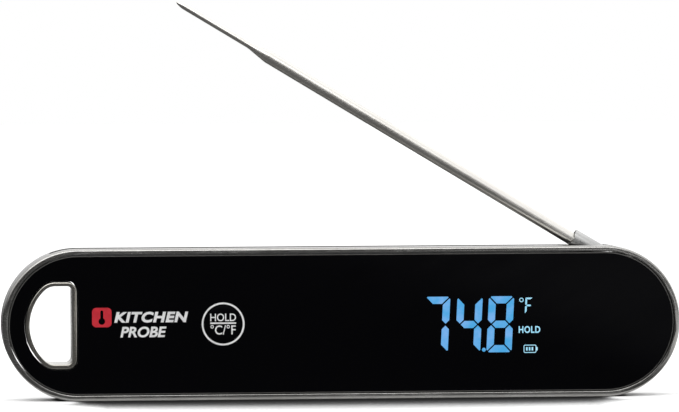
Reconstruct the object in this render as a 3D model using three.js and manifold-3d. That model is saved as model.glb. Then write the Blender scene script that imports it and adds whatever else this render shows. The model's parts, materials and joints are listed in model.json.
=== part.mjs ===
// Folding-probe digital kitchen thermometer, in millimetres.
// +X runs along the body towards the probe hinge, +Z is up and the front glass faces -Y.
// The body stands on its long lower edge, and the origin is at the middle of that edge.
import * as THREE from 'three';
import { mergeVertices } from 'three/addons/utils/BufferGeometryUtils.js';
import Module from 'manifold-3d';

const wasm = await Module();
wasm.setup();

// ---- driving dimensions ----
const BODY_LENGTH = 175;
const BODY_HEIGHT = 39;
const BODY_DEPTH = 17;
const RIM = 1.4;
const GAP = 0.3;
const PLATE_INSET = RIM + 0.2;
const EDGE_ROUND = 0.6;
const END_RADIUS = BODY_HEIGHT / 2;
const MID_Z = BODY_HEIGHT / 2;
const END_X = BODY_LENGTH / 2 - END_RADIUS;
const FRONT = -BODY_DEPTH / 2;
const BACK = BODY_DEPTH / 2;

// front stack, from the glass inwards
const GLASS_FRONT = FRONT + 0.2;
const GLASS_BACK = GLASS_FRONT + 1.0;
const GASKET_FRONT = GLASS_BACK + GAP;
const GASKET_BACK = GASKET_FRONT + 0.6;
const CHASSIS_FRONT = GASKET_BACK + GAP;
const CHASSIS_BACK = 5.7;
const REAR_SEAL_BACK = 6.6;
const COVER_FRONT = REAR_SEAL_BACK + GAP;
const COVER_BACK = BACK - 0.2;
const CHASSIS_WALL = 1.2;

// hanging hole: an arc that shares the body's end centre, cut off by a straight side
const HOLE_ARC = 12.5;
const HOLE_HALF_HEIGHT = 10.1;
const HOLE_SIDE_X = -69.45;
const HOLE_ARC_FILLET = 4;
const HOLE_CORNER = 1.5;
const HOLE_LINER = 1.05;
const HOLE_CUT = HOLE_LINER + GAP;
const HOLE_BOSS = HOLE_CUT + 1.3;

// probe hinge and its channel along the top edge
const PIVOT_X = 72.3;
const PIVOT_Z = 33.4;
const PROBE_Y = 1.2;
const PROBE_OPEN = THREE.MathUtils.degToRad(31.15);
const SLOT_WIDTH = 5.6;
const SLOT_FRONT = PROBE_Y - SLOT_WIDTH / 2;
const SLOT_BACK = PROBE_Y + SLOT_WIDTH / 2;
const SLOT_LEFT = -63.4;
const SLOT_FLOOR = 30.2;
const CHANNEL_WALL = 1.1;
const CHANNEL_BASE = 28.2;
const HUB_RADIUS = 4.2;
const HUB_WIDTH = 4.0;
const HUB_CLEARANCE = 0.6;
const ARM_RADIUS = 2.75;
const ARM_ROOT_RADIUS = 2.9;
const ARM_SQUASH = 0.83;
const ARM_END = 13.95;
const PIN_RADIUS = 1.5;
const PIN_HEAD = 2.3;
const PIN_BACK = 4.9;
const WASHER = 0.25;
const TUBE_RADIUS = 1.65;
const TUBE_BORE = 1.25;
const TUBE_START = 8.3;
const TIP_RADIUS = 0.75;
const TIP_BORE = 0.45;
const TAPER_START = 106;
const TAPER_END = 111.4;
const PROBE_LENGTH = 133.35;
const RAMP_LEFT = -75;
const RAMP_LOW = 31.5;
const RAMP_HIGH = 38.2;

// hold key
const KEY_X = -30.8;
const KEY_Z = 19.6;
const KEY_HOLE = 5.05;
const KEY_RADIUS = 4.8;

// display
const LCD_LEFT = 18.8;
const LCD_RIGHT = 53.9;
const LCD_BOTTOM = 7.4;
const LCD_TOP = 30.1;

// battery and its door
const CELL_RADIUS = 5.25;
const CELL_LENGTH = 44.5;
const CELL_X = -29.6;
const CELL_LEFT = CELL_X - CELL_LENGTH / 2;
const CELL_RIGHT = CELL_X + CELL_LENGTH / 2;
const CELL_Y = 1.2;
const CELL_Z = 15.5;
const DOOR_LEFT = -58;
const DOOR_RIGHT = 2;
const DOOR_SCREW_X = -1.6;
const DOOR_BOTTOM = 7.5;
const DOOR_TOP = 23.5;
const DOOR_CORNER = 3;

// board, magnets and screws
const BOARD_FRONT = -5.9;
const BOARD_BACK = -5.1;
const MAGNET_RADIUS = 5;
const MAGNET_XS = [14, 44];
const MAGNET_Z = 16;
const CASE_SCREWS = [[-64.4, 9], [-64.4, 24], [60, 5.4], [60, 26]];
const SCREW_HEAD = 2.3;
const SCREW_SHANK = 1.0;

// ---- helpers: shapes are drawn in X and Z, and given their depth along Y ----
function solidFrom(geometry) {
  geometry.deleteAttribute('normal');
  geometry.deleteAttribute('uv');
  const merged = mergeVertices(geometry, 1e-4);
  const index = merged.index.array;
  const triangles = [];
  for (let i = 0; i < index.length; i += 3) {
    const [a, b, c] = [index[i], index[i + 1], index[i + 2]];
    if (a !== b && b !== c && c !== a) triangles.push(a, b, c);
  }
  const vertProperties = merged.attributes.position.array;
  return new wasm.Manifold(new wasm.Mesh({ numProp: 3, vertProperties, triVerts: Uint32Array.from(triangles) }));
}

function slab(shape, yFront, yBack, bevel = 0, curveSegments = 12) {
  const depth = yBack - yFront - 2 * bevel;
  const geometry = new THREE.ExtrudeGeometry(shape, {
    depth,
    curveSegments,
    bevelEnabled: bevel > 0,
    bevelThickness: bevel,
    bevelSize: bevel,
    bevelOffset: -bevel,
    bevelSegments: 2,
  });
  geometry.rotateX(Math.PI / 2);
  geometry.translate(0, yBack - bevel, 0);
  return solidFrom(geometry);
}

function stadium(inset) {
  const radius = END_RADIUS - inset;
  const shape = new THREE.Shape();
  shape.absarc(END_X, MID_Z, radius, -Math.PI / 2, Math.PI / 2, false);
  shape.absarc(-END_X, MID_Z, radius, Math.PI / 2, 1.5 * Math.PI, false);
  return shape;
}

function holeOutline(grow) {
  const arc = HOLE_ARC + grow;
  const half = HOLE_HALF_HEIGHT + grow;
  const fillet = HOLE_ARC_FILLET + grow;
  const corner = HOLE_CORNER + grow;
  const side = HOLE_SIDE_X + grow;
  const filletZ = half - fillet;
  const filletX = Math.sqrt((arc - fillet) ** 2 - filletZ ** 2);
  const turn = Math.atan2(filletZ, filletX);
  const shape = new THREE.Shape();
  shape.absarc(side - corner, MID_Z - half + corner, corner, -Math.PI / 2, 0, false);
  shape.absarc(side - corner, MID_Z + half - corner, corner, 0, Math.PI / 2, false);
  shape.absarc(-END_X - filletX, MID_Z + filletZ, fillet, Math.PI / 2, Math.PI - turn, false);
  shape.absarc(-END_X, MID_Z, arc, Math.PI - turn, Math.PI + turn, false);
  shape.absarc(-END_X - filletX, MID_Z - filletZ, fillet, Math.PI + turn, 1.5 * Math.PI, false);
  return shape;
}

function roundedPanel(left, right, bottom, top, radius) {
  const shape = new THREE.Shape();
  shape.absarc(right - radius, bottom + radius, radius, -Math.PI / 2, 0, false);
  shape.absarc(right - radius, top - radius, radius, 0, Math.PI / 2, false);
  shape.absarc(left + radius, top - radius, radius, Math.PI / 2, Math.PI, false);
  shape.absarc(left + radius, bottom + radius, radius, Math.PI, 1.5 * Math.PI, false);
  return shape;
}

function block(left, right, yFront, yBack, bottom, top) {
  const geometry = new THREE.BoxGeometry(right - left, yBack - yFront, top - bottom);
  geometry.translate((left + right) / 2, (yFront + yBack) / 2, (bottom + top) / 2);
  return solidFrom(geometry);
}

function rod(x, z, radius, yFront, yBack, sides = 20, frontRadius = radius) {
  const geometry = new THREE.CylinderGeometry(radius, frontRadius, yBack - yFront, sides);
  geometry.translate(x, (yFront + yBack) / 2, z);
  return solidFrom(geometry);
}

// a turned solid about the probe's own axis, which points along -X from the pivot
function turned(profile, sides = 16) {
  const points = profile.map(([radius, along]) => new THREE.Vector2(radius, along));
  const geometry = new THREE.LatheGeometry(points, sides);
  geometry.rotateZ(Math.PI / 2);
  return solidFrom(geometry);
}

function geometryOf(solid) {
  const out = solid.getMesh();
  const geometry = new THREE.BufferGeometry();
  geometry.setAttribute('position', new THREE.BufferAttribute(out.vertProperties, 3));
  geometry.setIndex(new THREE.BufferAttribute(out.triVerts, 1));
  return geometry;
}

function material(color, roughness, metalness = 0) {
  return new THREE.MeshStandardMaterial({ color, roughness, metalness });
}

const finish = {
  satinMetal: material(0xb9bcbf, 0.3, 1),
  probeSteel: material(0xc6c8ca, 0.25, 1),
  springSteel: material(0xd0d0d0, 0.3, 1),
  blackGlass: material(0x08090b, 0.08),
  blackPlastic: material(0x17181a, 0.6),
  whitePlastic: material(0xe9e9e6, 0.5),
  displayGlass: material(0x101820, 0.1),
  silicone: material(0x3a3c3f, 0.8),
  circuitBoard: material(0x1f5a3a, 0.5),
  chipBlack: material(0x1b1b1d, 0.5),
  cellJacket: material(0x6d7f8c, 0.35, 0.6),
  brass: material(0xc9a45a, 0.35, 1),
};

function add(group, name, solid, surface) {
  const mesh = new THREE.Mesh(geometryOf(solid), surface);
  mesh.name = name;
  group.add(mesh);
}

// ---- cutters that several pieces share ----
const beyond = 20;
const slotBox = block(SLOT_LEFT, BODY_LENGTH / 2 + beyond, SLOT_FRONT, SLOT_BACK, SLOT_FLOOR, BODY_HEIGHT + beyond);
const hubPocket = rod(PIVOT_X, PIVOT_Z, HUB_RADIUS + HUB_CLEARANCE, SLOT_FRONT, SLOT_BACK, 28);
const channelCut = slotBox.add(hubPocket).add(nailRamp());

// a ramp at the channel's closed end, where a fingernail gets under the folded tip
function nailRamp() {
  const shape = new THREE.Shape();
  shape.moveTo(SLOT_LEFT + 1, RAMP_LOW);
  shape.lineTo(SLOT_LEFT + 1, BODY_HEIGHT + 1);
  shape.lineTo(RAMP_LEFT, BODY_HEIGHT + 1);
  shape.lineTo(RAMP_LEFT, RAMP_HIGH);
  shape.lineTo(SLOT_LEFT, RAMP_LOW);
  shape.closePath();
  return slab(shape, SLOT_FRONT, SLOT_BACK);
}

// ---- casing ----
function caseFrame() {
  const outer = slab(stadium(0), FRONT, BACK, EDGE_ROUND);
  const inner = slab(stadium(RIM), FRONT - 1, BACK + 1);
  return outer.subtract(inner).subtract(channelCut);
}

function frontGlass() {
  const plate = slab(stadium(PLATE_INSET), GLASS_FRONT, GLASS_BACK, 0.3);
  const hole = slab(holeOutline(HOLE_CUT), FRONT - 1, 0, 0, 5);
  return plate.subtract(hole).subtract(rod(KEY_X, KEY_Z, KEY_HOLE, FRONT - 1, 0, 40));
}

function holeBezel() {
  const outer = slab(holeOutline(HOLE_LINER), FRONT, BACK, 0.35, 5);
  return outer.subtract(slab(holeOutline(0), FRONT - 1, BACK + 1, 0, 5));
}

function glassGasket() {
  const outer = slab(stadium(RIM + GAP), GASKET_FRONT, GASKET_BACK, 0, 8);
  return outer.subtract(slab(stadium(RIM + GAP + 1.4), FRONT, 0, 0, 8));
}

function chassis() {
  const outer = slab(stadium(RIM + GAP), CHASSIS_FRONT, CHASSIS_BACK);
  const inner = slab(stadium(RIM + GAP + CHASSIS_WALL), FRONT, BACK);
  const holeBoss = slab(holeOutline(HOLE_BOSS), CHASSIS_FRONT, CHASSIS_BACK, 0, 5);
  const rail = block(RAMP_LEFT - 2, BODY_LENGTH / 2, SLOT_FRONT - CHANNEL_WALL, CHASSIS_BACK, CHANNEL_BASE, BODY_HEIGHT);
  const holeRib = block(-74.6, -73.4, CHASSIS_FRONT, CHASSIS_BACK, 2.5, 8);
  const hubWalls = rod(PIVOT_X, PIVOT_Z, HUB_RADIUS + HUB_CLEARANCE + 1.6, SLOT_FRONT - CHANNEL_WALL, CHASSIS_BACK, 28);
  let frame = outer.subtract(inner).add(holeBoss).add(holeRib).add(rail).add(hubWalls);
  for (const left of [CELL_LEFT - 5.9, CELL_RIGHT + 1.3]) {
    frame = frame.add(block(left, left + 1.2, -4.6, CHASSIS_BACK, 2.5, 22));
  }
  frame = frame
    .add(block(CELL_RIGHT + 1.4, DOOR_SCREW_X, -1, CHASSIS_BACK, CELL_Z - 2, CELL_Z + 2))
    .add(rod(DOOR_SCREW_X, CELL_Z, 2.8, -1, CHASSIS_BACK))
    .subtract(rod(DOOR_SCREW_X, CELL_Z, SCREW_SHANK + GAP, 0, BACK));
  for (const [x, z] of CASE_SCREWS) {
    frame = frame.add(rod(x, z, 2.8, -1, CHASSIS_BACK));
  }
  frame = frame.intersect(slab(stadium(RIM + GAP), CHASSIS_FRONT, CHASSIS_BACK));
  for (const [x, z] of CASE_SCREWS) {
    frame = frame.subtract(rod(x, z, SCREW_SHANK + GAP, 0, BACK));
  }
  return frame
    .subtract(slab(holeOutline(HOLE_CUT), FRONT, BACK, 0, 5))
    .subtract(channelCut)
    .subtract(rod(PIVOT_X, PIVOT_Z, PIN_HEAD + GAP, FRONT, SLOT_FRONT - CHANNEL_WALL))
    .subtract(rod(PIVOT_X, PIVOT_Z, PIN_RADIUS + GAP, FRONT, PIN_BACK + 0.2));
}

function rearSeal() {
  const outer = slab(stadium(RIM + GAP), CHASSIS_BACK + GAP, REAR_SEAL_BACK, 0, 8);
  return outer.subtract(slab(stadium(RIM + GAP + 1.1), 0, BACK, 0, 8));
}

function rearCover() {
  let cover = slab(stadium(PLATE_INSET), COVER_FRONT, COVER_BACK, 0.3);
  for (const x of MAGNET_XS) {
    cover = cover.add(rod(x, MAGNET_Z, MAGNET_RADIUS + 1.3, CHASSIS_BACK - 0.2, COVER_FRONT + 0.5, 24));
  }
  for (const x of MAGNET_XS) {
    cover = cover.subtract(rod(x, MAGNET_Z, MAGNET_RADIUS + GAP, CHASSIS_BACK + 0.4, BACK, 24));
  }
  for (const [x, z] of CASE_SCREWS) {
    cover = cover.subtract(rod(x, z, SCREW_SHANK + GAP, 0, BACK));
    cover = cover.subtract(rod(x, z, SCREW_HEAD + GAP, COVER_BACK - 0.9, BACK));
  }
  const doorway = roundedPanel(DOOR_LEFT - GAP, DOOR_RIGHT + GAP, DOOR_BOTTOM - GAP, DOOR_TOP + GAP, DOOR_CORNER + GAP);
  return cover
    .subtract(slab(doorway, 0, BACK, 0, 4))
    .subtract(slab(holeOutline(HOLE_CUT), 0, BACK, 0, 5));
}

function magnet(x) {
  return rod(x, MAGNET_Z, MAGNET_RADIUS, CHASSIS_BACK + 0.7, COVER_BACK - 0.2, 24);
}

function screw(x, z, tip) {
  const head = rod(x, z, SCREW_HEAD, COVER_BACK - 0.6, COVER_BACK - 0.05, 20);
  const drive = rod(x, z, 1.0, COVER_BACK - 0.35, BACK, 6);
  return head.add(rod(x, z, SCREW_SHANK, tip, COVER_BACK - 0.5, 12)).subtract(drive);
}

// ---- display and electronics ----
function displayPanel() {
  return block(LCD_LEFT, LCD_RIGHT, GASKET_FRONT + 0.1, -5.5, LCD_BOTTOM, LCD_TOP);
}

function displayBacklight() {
  return block(LCD_LEFT + 0.4, LCD_RIGHT - 0.4, -5.2, -3.9, LCD_BOTTOM + 0.4, LCD_TOP - 0.4);
}

function displayHolder() {
  const outer = block(LCD_LEFT - 1.4, LCD_RIGHT + 1.4, -6.6, -2.9, LCD_BOTTOM - 1.4, LCD_TOP + 1.4);
  const pocket = block(LCD_LEFT - GAP, LCD_RIGHT + GAP, -8, -3.6, LCD_BOTTOM - GAP, LCD_TOP + GAP);
  const window = block(LCD_LEFT + 5, LCD_RIGHT - 5, -8, 0, LCD_BOTTOM + 5, LCD_TOP - 5);
  return outer.subtract(pocket).subtract(window);
}

function mainBoard() {
  const board = roundedPanel(-51, 16.8, 4.6, 27.6, 1.5);
  return slab(board, BOARD_FRONT, BOARD_BACK, 0, 3);
}

function displayRibbon() {
  return block(13.4, LCD_LEFT + 4, -2.6, -2.3, 12, 24).add(block(13.4, 13.8, BOARD_BACK + GAP, -2.3, 12, 24));
}

function wakeBoard() {
  return slab(roundedPanel(63.5, 82, 17, 27.8, 1), -4.6, -3.8, 0, 3);
}

function cell() {
  const can = rod(0, 0, CELL_RADIUS, -CELL_LENGTH / 2, CELL_LENGTH / 2 - 1, 28);
  const cap = rod(0, 0, 1.9, CELL_LENGTH / 2 - 1.2, CELL_LENGTH / 2, 14);
  return can.add(cap).rotate([0, 0, -90]).translate([CELL_X, CELL_Y, CELL_Z]);
}

class Helix extends THREE.Curve {
  constructor(radius, length, turns) {
    super();
    this.radius = radius;
    this.length = length;
    this.turns = turns;
  }

  getPoint(t, target = new THREE.Vector3()) {
    const angle = 2 * Math.PI * this.turns * t;
    const swell = this.radius * (1 - 0.45 * t);
    return target.set(t * this.length, swell * Math.cos(angle), swell * Math.sin(angle));
  }
}

function wireSection(radius, sides) {
  const shape = new THREE.Shape();
  for (let i = 0; i < sides; i += 1) {
    const angle = (2 * Math.PI * i) / sides;
    const place = [radius * Math.cos(angle), radius * Math.sin(angle)];
    if (i === 0) shape.moveTo(...place);
    else shape.lineTo(...place);
  }
  shape.closePath();
  return shape;
}

function batterySpring() {
  const wire = new THREE.ExtrudeGeometry(wireSection(0.3, 6), {
    steps: 44,
    bevelEnabled: false,
    extrudePath: new Helix(3.6, 2.6, 3),
  });
  wire.translate(CELL_LEFT - 3.3, CELL_Y, CELL_Z);
  return solidFrom(wire);
}

function contactPlate(left) {
  return block(left, left + 0.4, CELL_Y - 4, CELL_Y + 4, CELL_Z - 5, CELL_Z + 5);
}

// ---- probe: modelled folded, along -X from its pivot, then opened as one group ----
function probeHub() {
  const disc = rod(0, 0, HUB_RADIUS, -HUB_WIDTH / 2, HUB_WIDTH / 2, 28);
  const neck = (HUB_WIDTH / 2 - 0.1) / ARM_SQUASH;
  const arm = turned([[0, 0], [neck, 0], [neck, HUB_RADIUS - 0.3], [ARM_ROOT_RADIUS, HUB_RADIUS + 0.6],
    [ARM_RADIUS, ARM_END - 0.2], [ARM_RADIUS - 0.15, ARM_END], [0, ARM_END]], 28)
    .scale([1, ARM_SQUASH, 1]);
  const socket = turned([[0, TUBE_START - GAP], [TUBE_RADIUS + 0.2, TUBE_START - GAP], [TUBE_RADIUS + 0.2, ARM_END + 1],
    [0, ARM_END + 1]]);
  const leadWay = turned([[0, 1.5], [0.9, 1.5], [0.9, TUBE_START], [0, TUBE_START]], 10);
  return disc.add(arm)
    .subtract(socket)
    .subtract(leadWay)
    .subtract(rod(0, 0, PIN_RADIUS + GAP, -HUB_WIDTH, HUB_WIDTH))
    .subtract(rod(2.7, 0, 1.0, -HUB_WIDTH, -HUB_WIDTH / 2 + 1.2, 12));
}

function probeTube() {
  const outside = turned([[0, TUBE_START], [TUBE_RADIUS, TUBE_START], [TUBE_RADIUS, TAPER_START], [TIP_RADIUS, TAPER_END],
    [TIP_RADIUS, PROBE_LENGTH - 2], [0.15, PROBE_LENGTH], [0, PROBE_LENGTH]]);
  const inside = turned([[0, TUBE_START - 1], [TUBE_BORE, TUBE_START - 1], [TUBE_BORE, TAPER_START - 0.5],
    [TIP_BORE, TAPER_END], [TIP_BORE, PROBE_LENGTH - 3], [0, PROBE_LENGTH - 3]]);
  return outside.subtract(inside);
}

function sensorLeads() {
  return turned([[0, 4], [0.55, 4], [0.55, TAPER_START - 2], [0.14, TAPER_END], [0.14, 127], [0, 127]], 8);
}

function sensorBead() {
  return turned([[0, 127.3], [0.2, 127.5], [0.2, 129.6], [0, 129.8]], 8);
}

function washer(yFront, yBack) {
  const disc = rod(PIVOT_X, PIVOT_Z, 3.7, yFront, yBack, 20);
  return disc.subtract(rod(PIVOT_X, PIVOT_Z, PIN_RADIUS + 0.35, FRONT, BACK, 16));
}

function pivotPin() {
  const shaft = rod(PIVOT_X, PIVOT_Z, PIN_RADIUS, -3.4, PIN_BACK);
  const head = rod(PIVOT_X, PIVOT_Z, PIN_HEAD, -3.9, -3.1);
  const drive = rod(PIVOT_X, PIVOT_Z, 1.0, -5, -3.5, 6);
  return shaft.add(head).subtract(drive);
}

// ---- keys and doors ----
function holdKey() {
  const cap = rod(KEY_X, KEY_Z, KEY_RADIUS, GLASS_FRONT, -7.4, 40);
  const neck = rod(KEY_X, KEY_Z, 4.4, -7.5, -6.9, 28);
  const flange = rod(KEY_X, KEY_Z, 5.7, GLASS_BACK + GAP, -6.8, 28);
  return cap.add(neck).add(flange);
}

function keyDome() {
  const back = BOARD_FRONT - GAP;
  return rod(KEY_X, KEY_Z, 2.6, back - 0.2, back, 20, 1.6);
}

function batteryDoor() {
  const panel = roundedPanel(DOOR_LEFT, DOOR_RIGHT, DOOR_BOTTOM, DOOR_TOP, DOOR_CORNER);
  const plate = slab(panel, COVER_FRONT, COVER_BACK, 0.3, 4);
  return plate
    .subtract(rod(DOOR_SCREW_X, CELL_Z, SCREW_SHANK + GAP, 0, BACK))
    .subtract(rod(DOOR_SCREW_X, CELL_Z, SCREW_HEAD + GAP, COVER_BACK - 0.9, BACK));
}

function doorSeal() {
  const outer = roundedPanel(DOOR_LEFT + 0.4, DOOR_RIGHT - 0.4, DOOR_BOTTOM + 0.4, DOOR_TOP - 0.4, DOOR_CORNER);
  const inner = roundedPanel(DOOR_LEFT + 1.3, DOOR_RIGHT - 1.3, DOOR_BOTTOM + 1.3, DOOR_TOP - 1.3, DOOR_CORNER);
  return slab(outer, COVER_FRONT - 0.9, COVER_FRONT - GAP, 0, 3).subtract(slab(inner, 0, BACK, 0, 3));
}

// ---- assembly ----
const thermometer = new THREE.Group();
const body = new THREE.Group();
add(body, 'case_frame', caseFrame(), finish.satinMetal);
add(body, 'front_glass', frontGlass(), finish.blackGlass);
add(body, 'hole_bezel', holeBezel(), finish.satinMetal);
add(body, 'glass_gasket', glassGasket(), finish.silicone);
add(body, 'chassis', chassis(), finish.blackPlastic);
add(body, 'rear_seal', rearSeal(), finish.silicone);
add(body, 'rear_cover', rearCover(), finish.blackPlastic);
MAGNET_XS.forEach((x, i) => add(body, `magnet_${i + 1}`, magnet(x), finish.springSteel));
CASE_SCREWS.forEach(([x, z], i) => add(body, `case_screw_${i + 1}`, screw(x, z, 1.5), finish.springSteel));
add(body, 'display_panel', displayPanel(), finish.displayGlass);
add(body, 'display_backlight', displayBacklight(), finish.whitePlastic);
add(body, 'display_holder', displayHolder(), finish.whitePlastic);
add(body, 'display_ribbon', displayRibbon(), finish.brass);
add(body, 'main_board', mainBoard(), finish.circuitBoard);
add(body, 'controller_chip', block(2, 10, BOARD_BACK + GAP, -3.6, 12, 20), finish.chipBlack);
add(body, 'tilt_sensor', block(5, 8, BOARD_BACK + GAP, -3.9, 23, 26), finish.chipBlack);
add(body, 'key_dome', keyDome(), finish.springSteel);
add(body, 'wake_board', wakeBoard(), finish.circuitBoard);
add(body, 'wake_sensor', block(74.5, 78.5, -3.5, -2.7, 22, 25.5), finish.chipBlack);
add(body, 'piezo_buzzer', rod(70, 16.5, 6, 4.4, COVER_FRONT - 0.4, 28), finish.brass);
add(body, 'battery_cell', cell(), finish.cellJacket);
add(body, 'battery_spring', batterySpring(), finish.springSteel);
add(body, 'spring_plate', contactPlate(CELL_LEFT - 4.3), finish.springSteel);
add(body, 'button_plate', contactPlate(CELL_RIGHT + GAP), finish.springSteel);
add(body, 'pivot_pin', pivotPin(), finish.probeSteel);
add(body, 'hub_seal', washer(SLOT_FRONT + GAP, SLOT_FRONT + GAP + WASHER), finish.silicone);
add(body, 'wave_washer', washer(SLOT_BACK - GAP - WASHER, SLOT_BACK - GAP), finish.springSteel);
thermometer.add(body);

const probe = new THREE.Group();
add(probe, 'probe_hub', probeHub(), finish.satinMetal);
add(probe, 'probe_tube', probeTube(), finish.probeSteel);
add(probe, 'sensor_leads', sensorLeads(), finish.silicone);
add(probe, 'sensor_bead', sensorBead(), finish.chipBlack);
add(probe, 'wake_magnet', rod(2.7, 0, 0.7, -HUB_WIDTH / 2 + 0.1, -HUB_WIDTH / 2 + 0.9, 12), finish.springSteel);
probe.position.set(PIVOT_X, PROBE_Y, PIVOT_Z);
probe.rotation.y = PROBE_OPEN;
thermometer.add(probe);

const key = new THREE.Group();
add(key, 'hold_key', holdKey(), finish.blackGlass);
thermometer.add(key);

const door = new THREE.Group();
add(door, 'battery_door', batteryDoor(), finish.blackPlastic);
add(door, 'door_seal', doorSeal(), finish.silicone);
add(door, 'door_screw', screw(DOOR_SCREW_X, CELL_Z, 2), finish.springSteel);
thermometer.add(door);

export default thermometer;
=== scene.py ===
"""Folding-probe kitchen thermometer: the finished look, in metres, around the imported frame."""
import json
import logging
import math
from contextlib import contextmanager
from dataclasses import dataclass
from enum import Enum
from typing import Callable, Iterator, Sequence

import bmesh
import bpy
from mathutils import Matrix, Vector


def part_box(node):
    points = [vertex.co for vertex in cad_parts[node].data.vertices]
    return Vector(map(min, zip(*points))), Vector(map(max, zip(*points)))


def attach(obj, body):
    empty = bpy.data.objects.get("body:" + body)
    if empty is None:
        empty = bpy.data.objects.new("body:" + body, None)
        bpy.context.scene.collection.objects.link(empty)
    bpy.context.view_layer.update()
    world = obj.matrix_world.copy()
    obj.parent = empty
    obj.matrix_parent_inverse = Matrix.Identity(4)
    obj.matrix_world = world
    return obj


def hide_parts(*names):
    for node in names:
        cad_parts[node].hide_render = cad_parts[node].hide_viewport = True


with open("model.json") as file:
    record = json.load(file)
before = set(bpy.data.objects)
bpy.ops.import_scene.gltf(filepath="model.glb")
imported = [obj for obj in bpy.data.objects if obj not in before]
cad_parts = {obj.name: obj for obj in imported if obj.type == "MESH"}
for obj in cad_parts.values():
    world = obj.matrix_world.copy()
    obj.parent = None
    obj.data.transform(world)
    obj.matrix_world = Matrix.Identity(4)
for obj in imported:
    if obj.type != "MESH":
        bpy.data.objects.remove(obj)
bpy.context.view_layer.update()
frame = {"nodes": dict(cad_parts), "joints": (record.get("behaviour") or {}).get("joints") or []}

LOG = logging.getLogger("thermometer")
MM = 0.001
FINE = 128
MEDIUM = 64
SMALL = 32
TOUCH = 1e-6
NEARLY = 0.02 * MM
FLAT = math.radians(0.3)
PLAIN = (1.0, 1.0, 1.0)
LETTER_DEPTH = 0.5
LETTER_CURVE = 4

Solid = bpy.types.Object
Test = Callable[[Vector, Vector], bool]


class Body(Enum):
    """The bodies that pieces ride on."""

    CASE = "body"
    PROBE = "probe"
    KEY = "key"
    DOOR = "door"


class Slot(Enum):
    """The record's material slots, listed for the new pieces; nothing here reads them."""

    FRAME = "frame_metal"
    BEZEL = "bezel_metal"
    GLASS = "front_glass"
    DISPLAY = "display_glass"
    COVER = "cover_plastic"
    MAGNET = "magnet_plating"
    SCREW = "screw_steel"
    HUB = "hub_metal"
    PROBE = "probe_steel"


# ---------------------------------------------------------------- finishes


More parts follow.
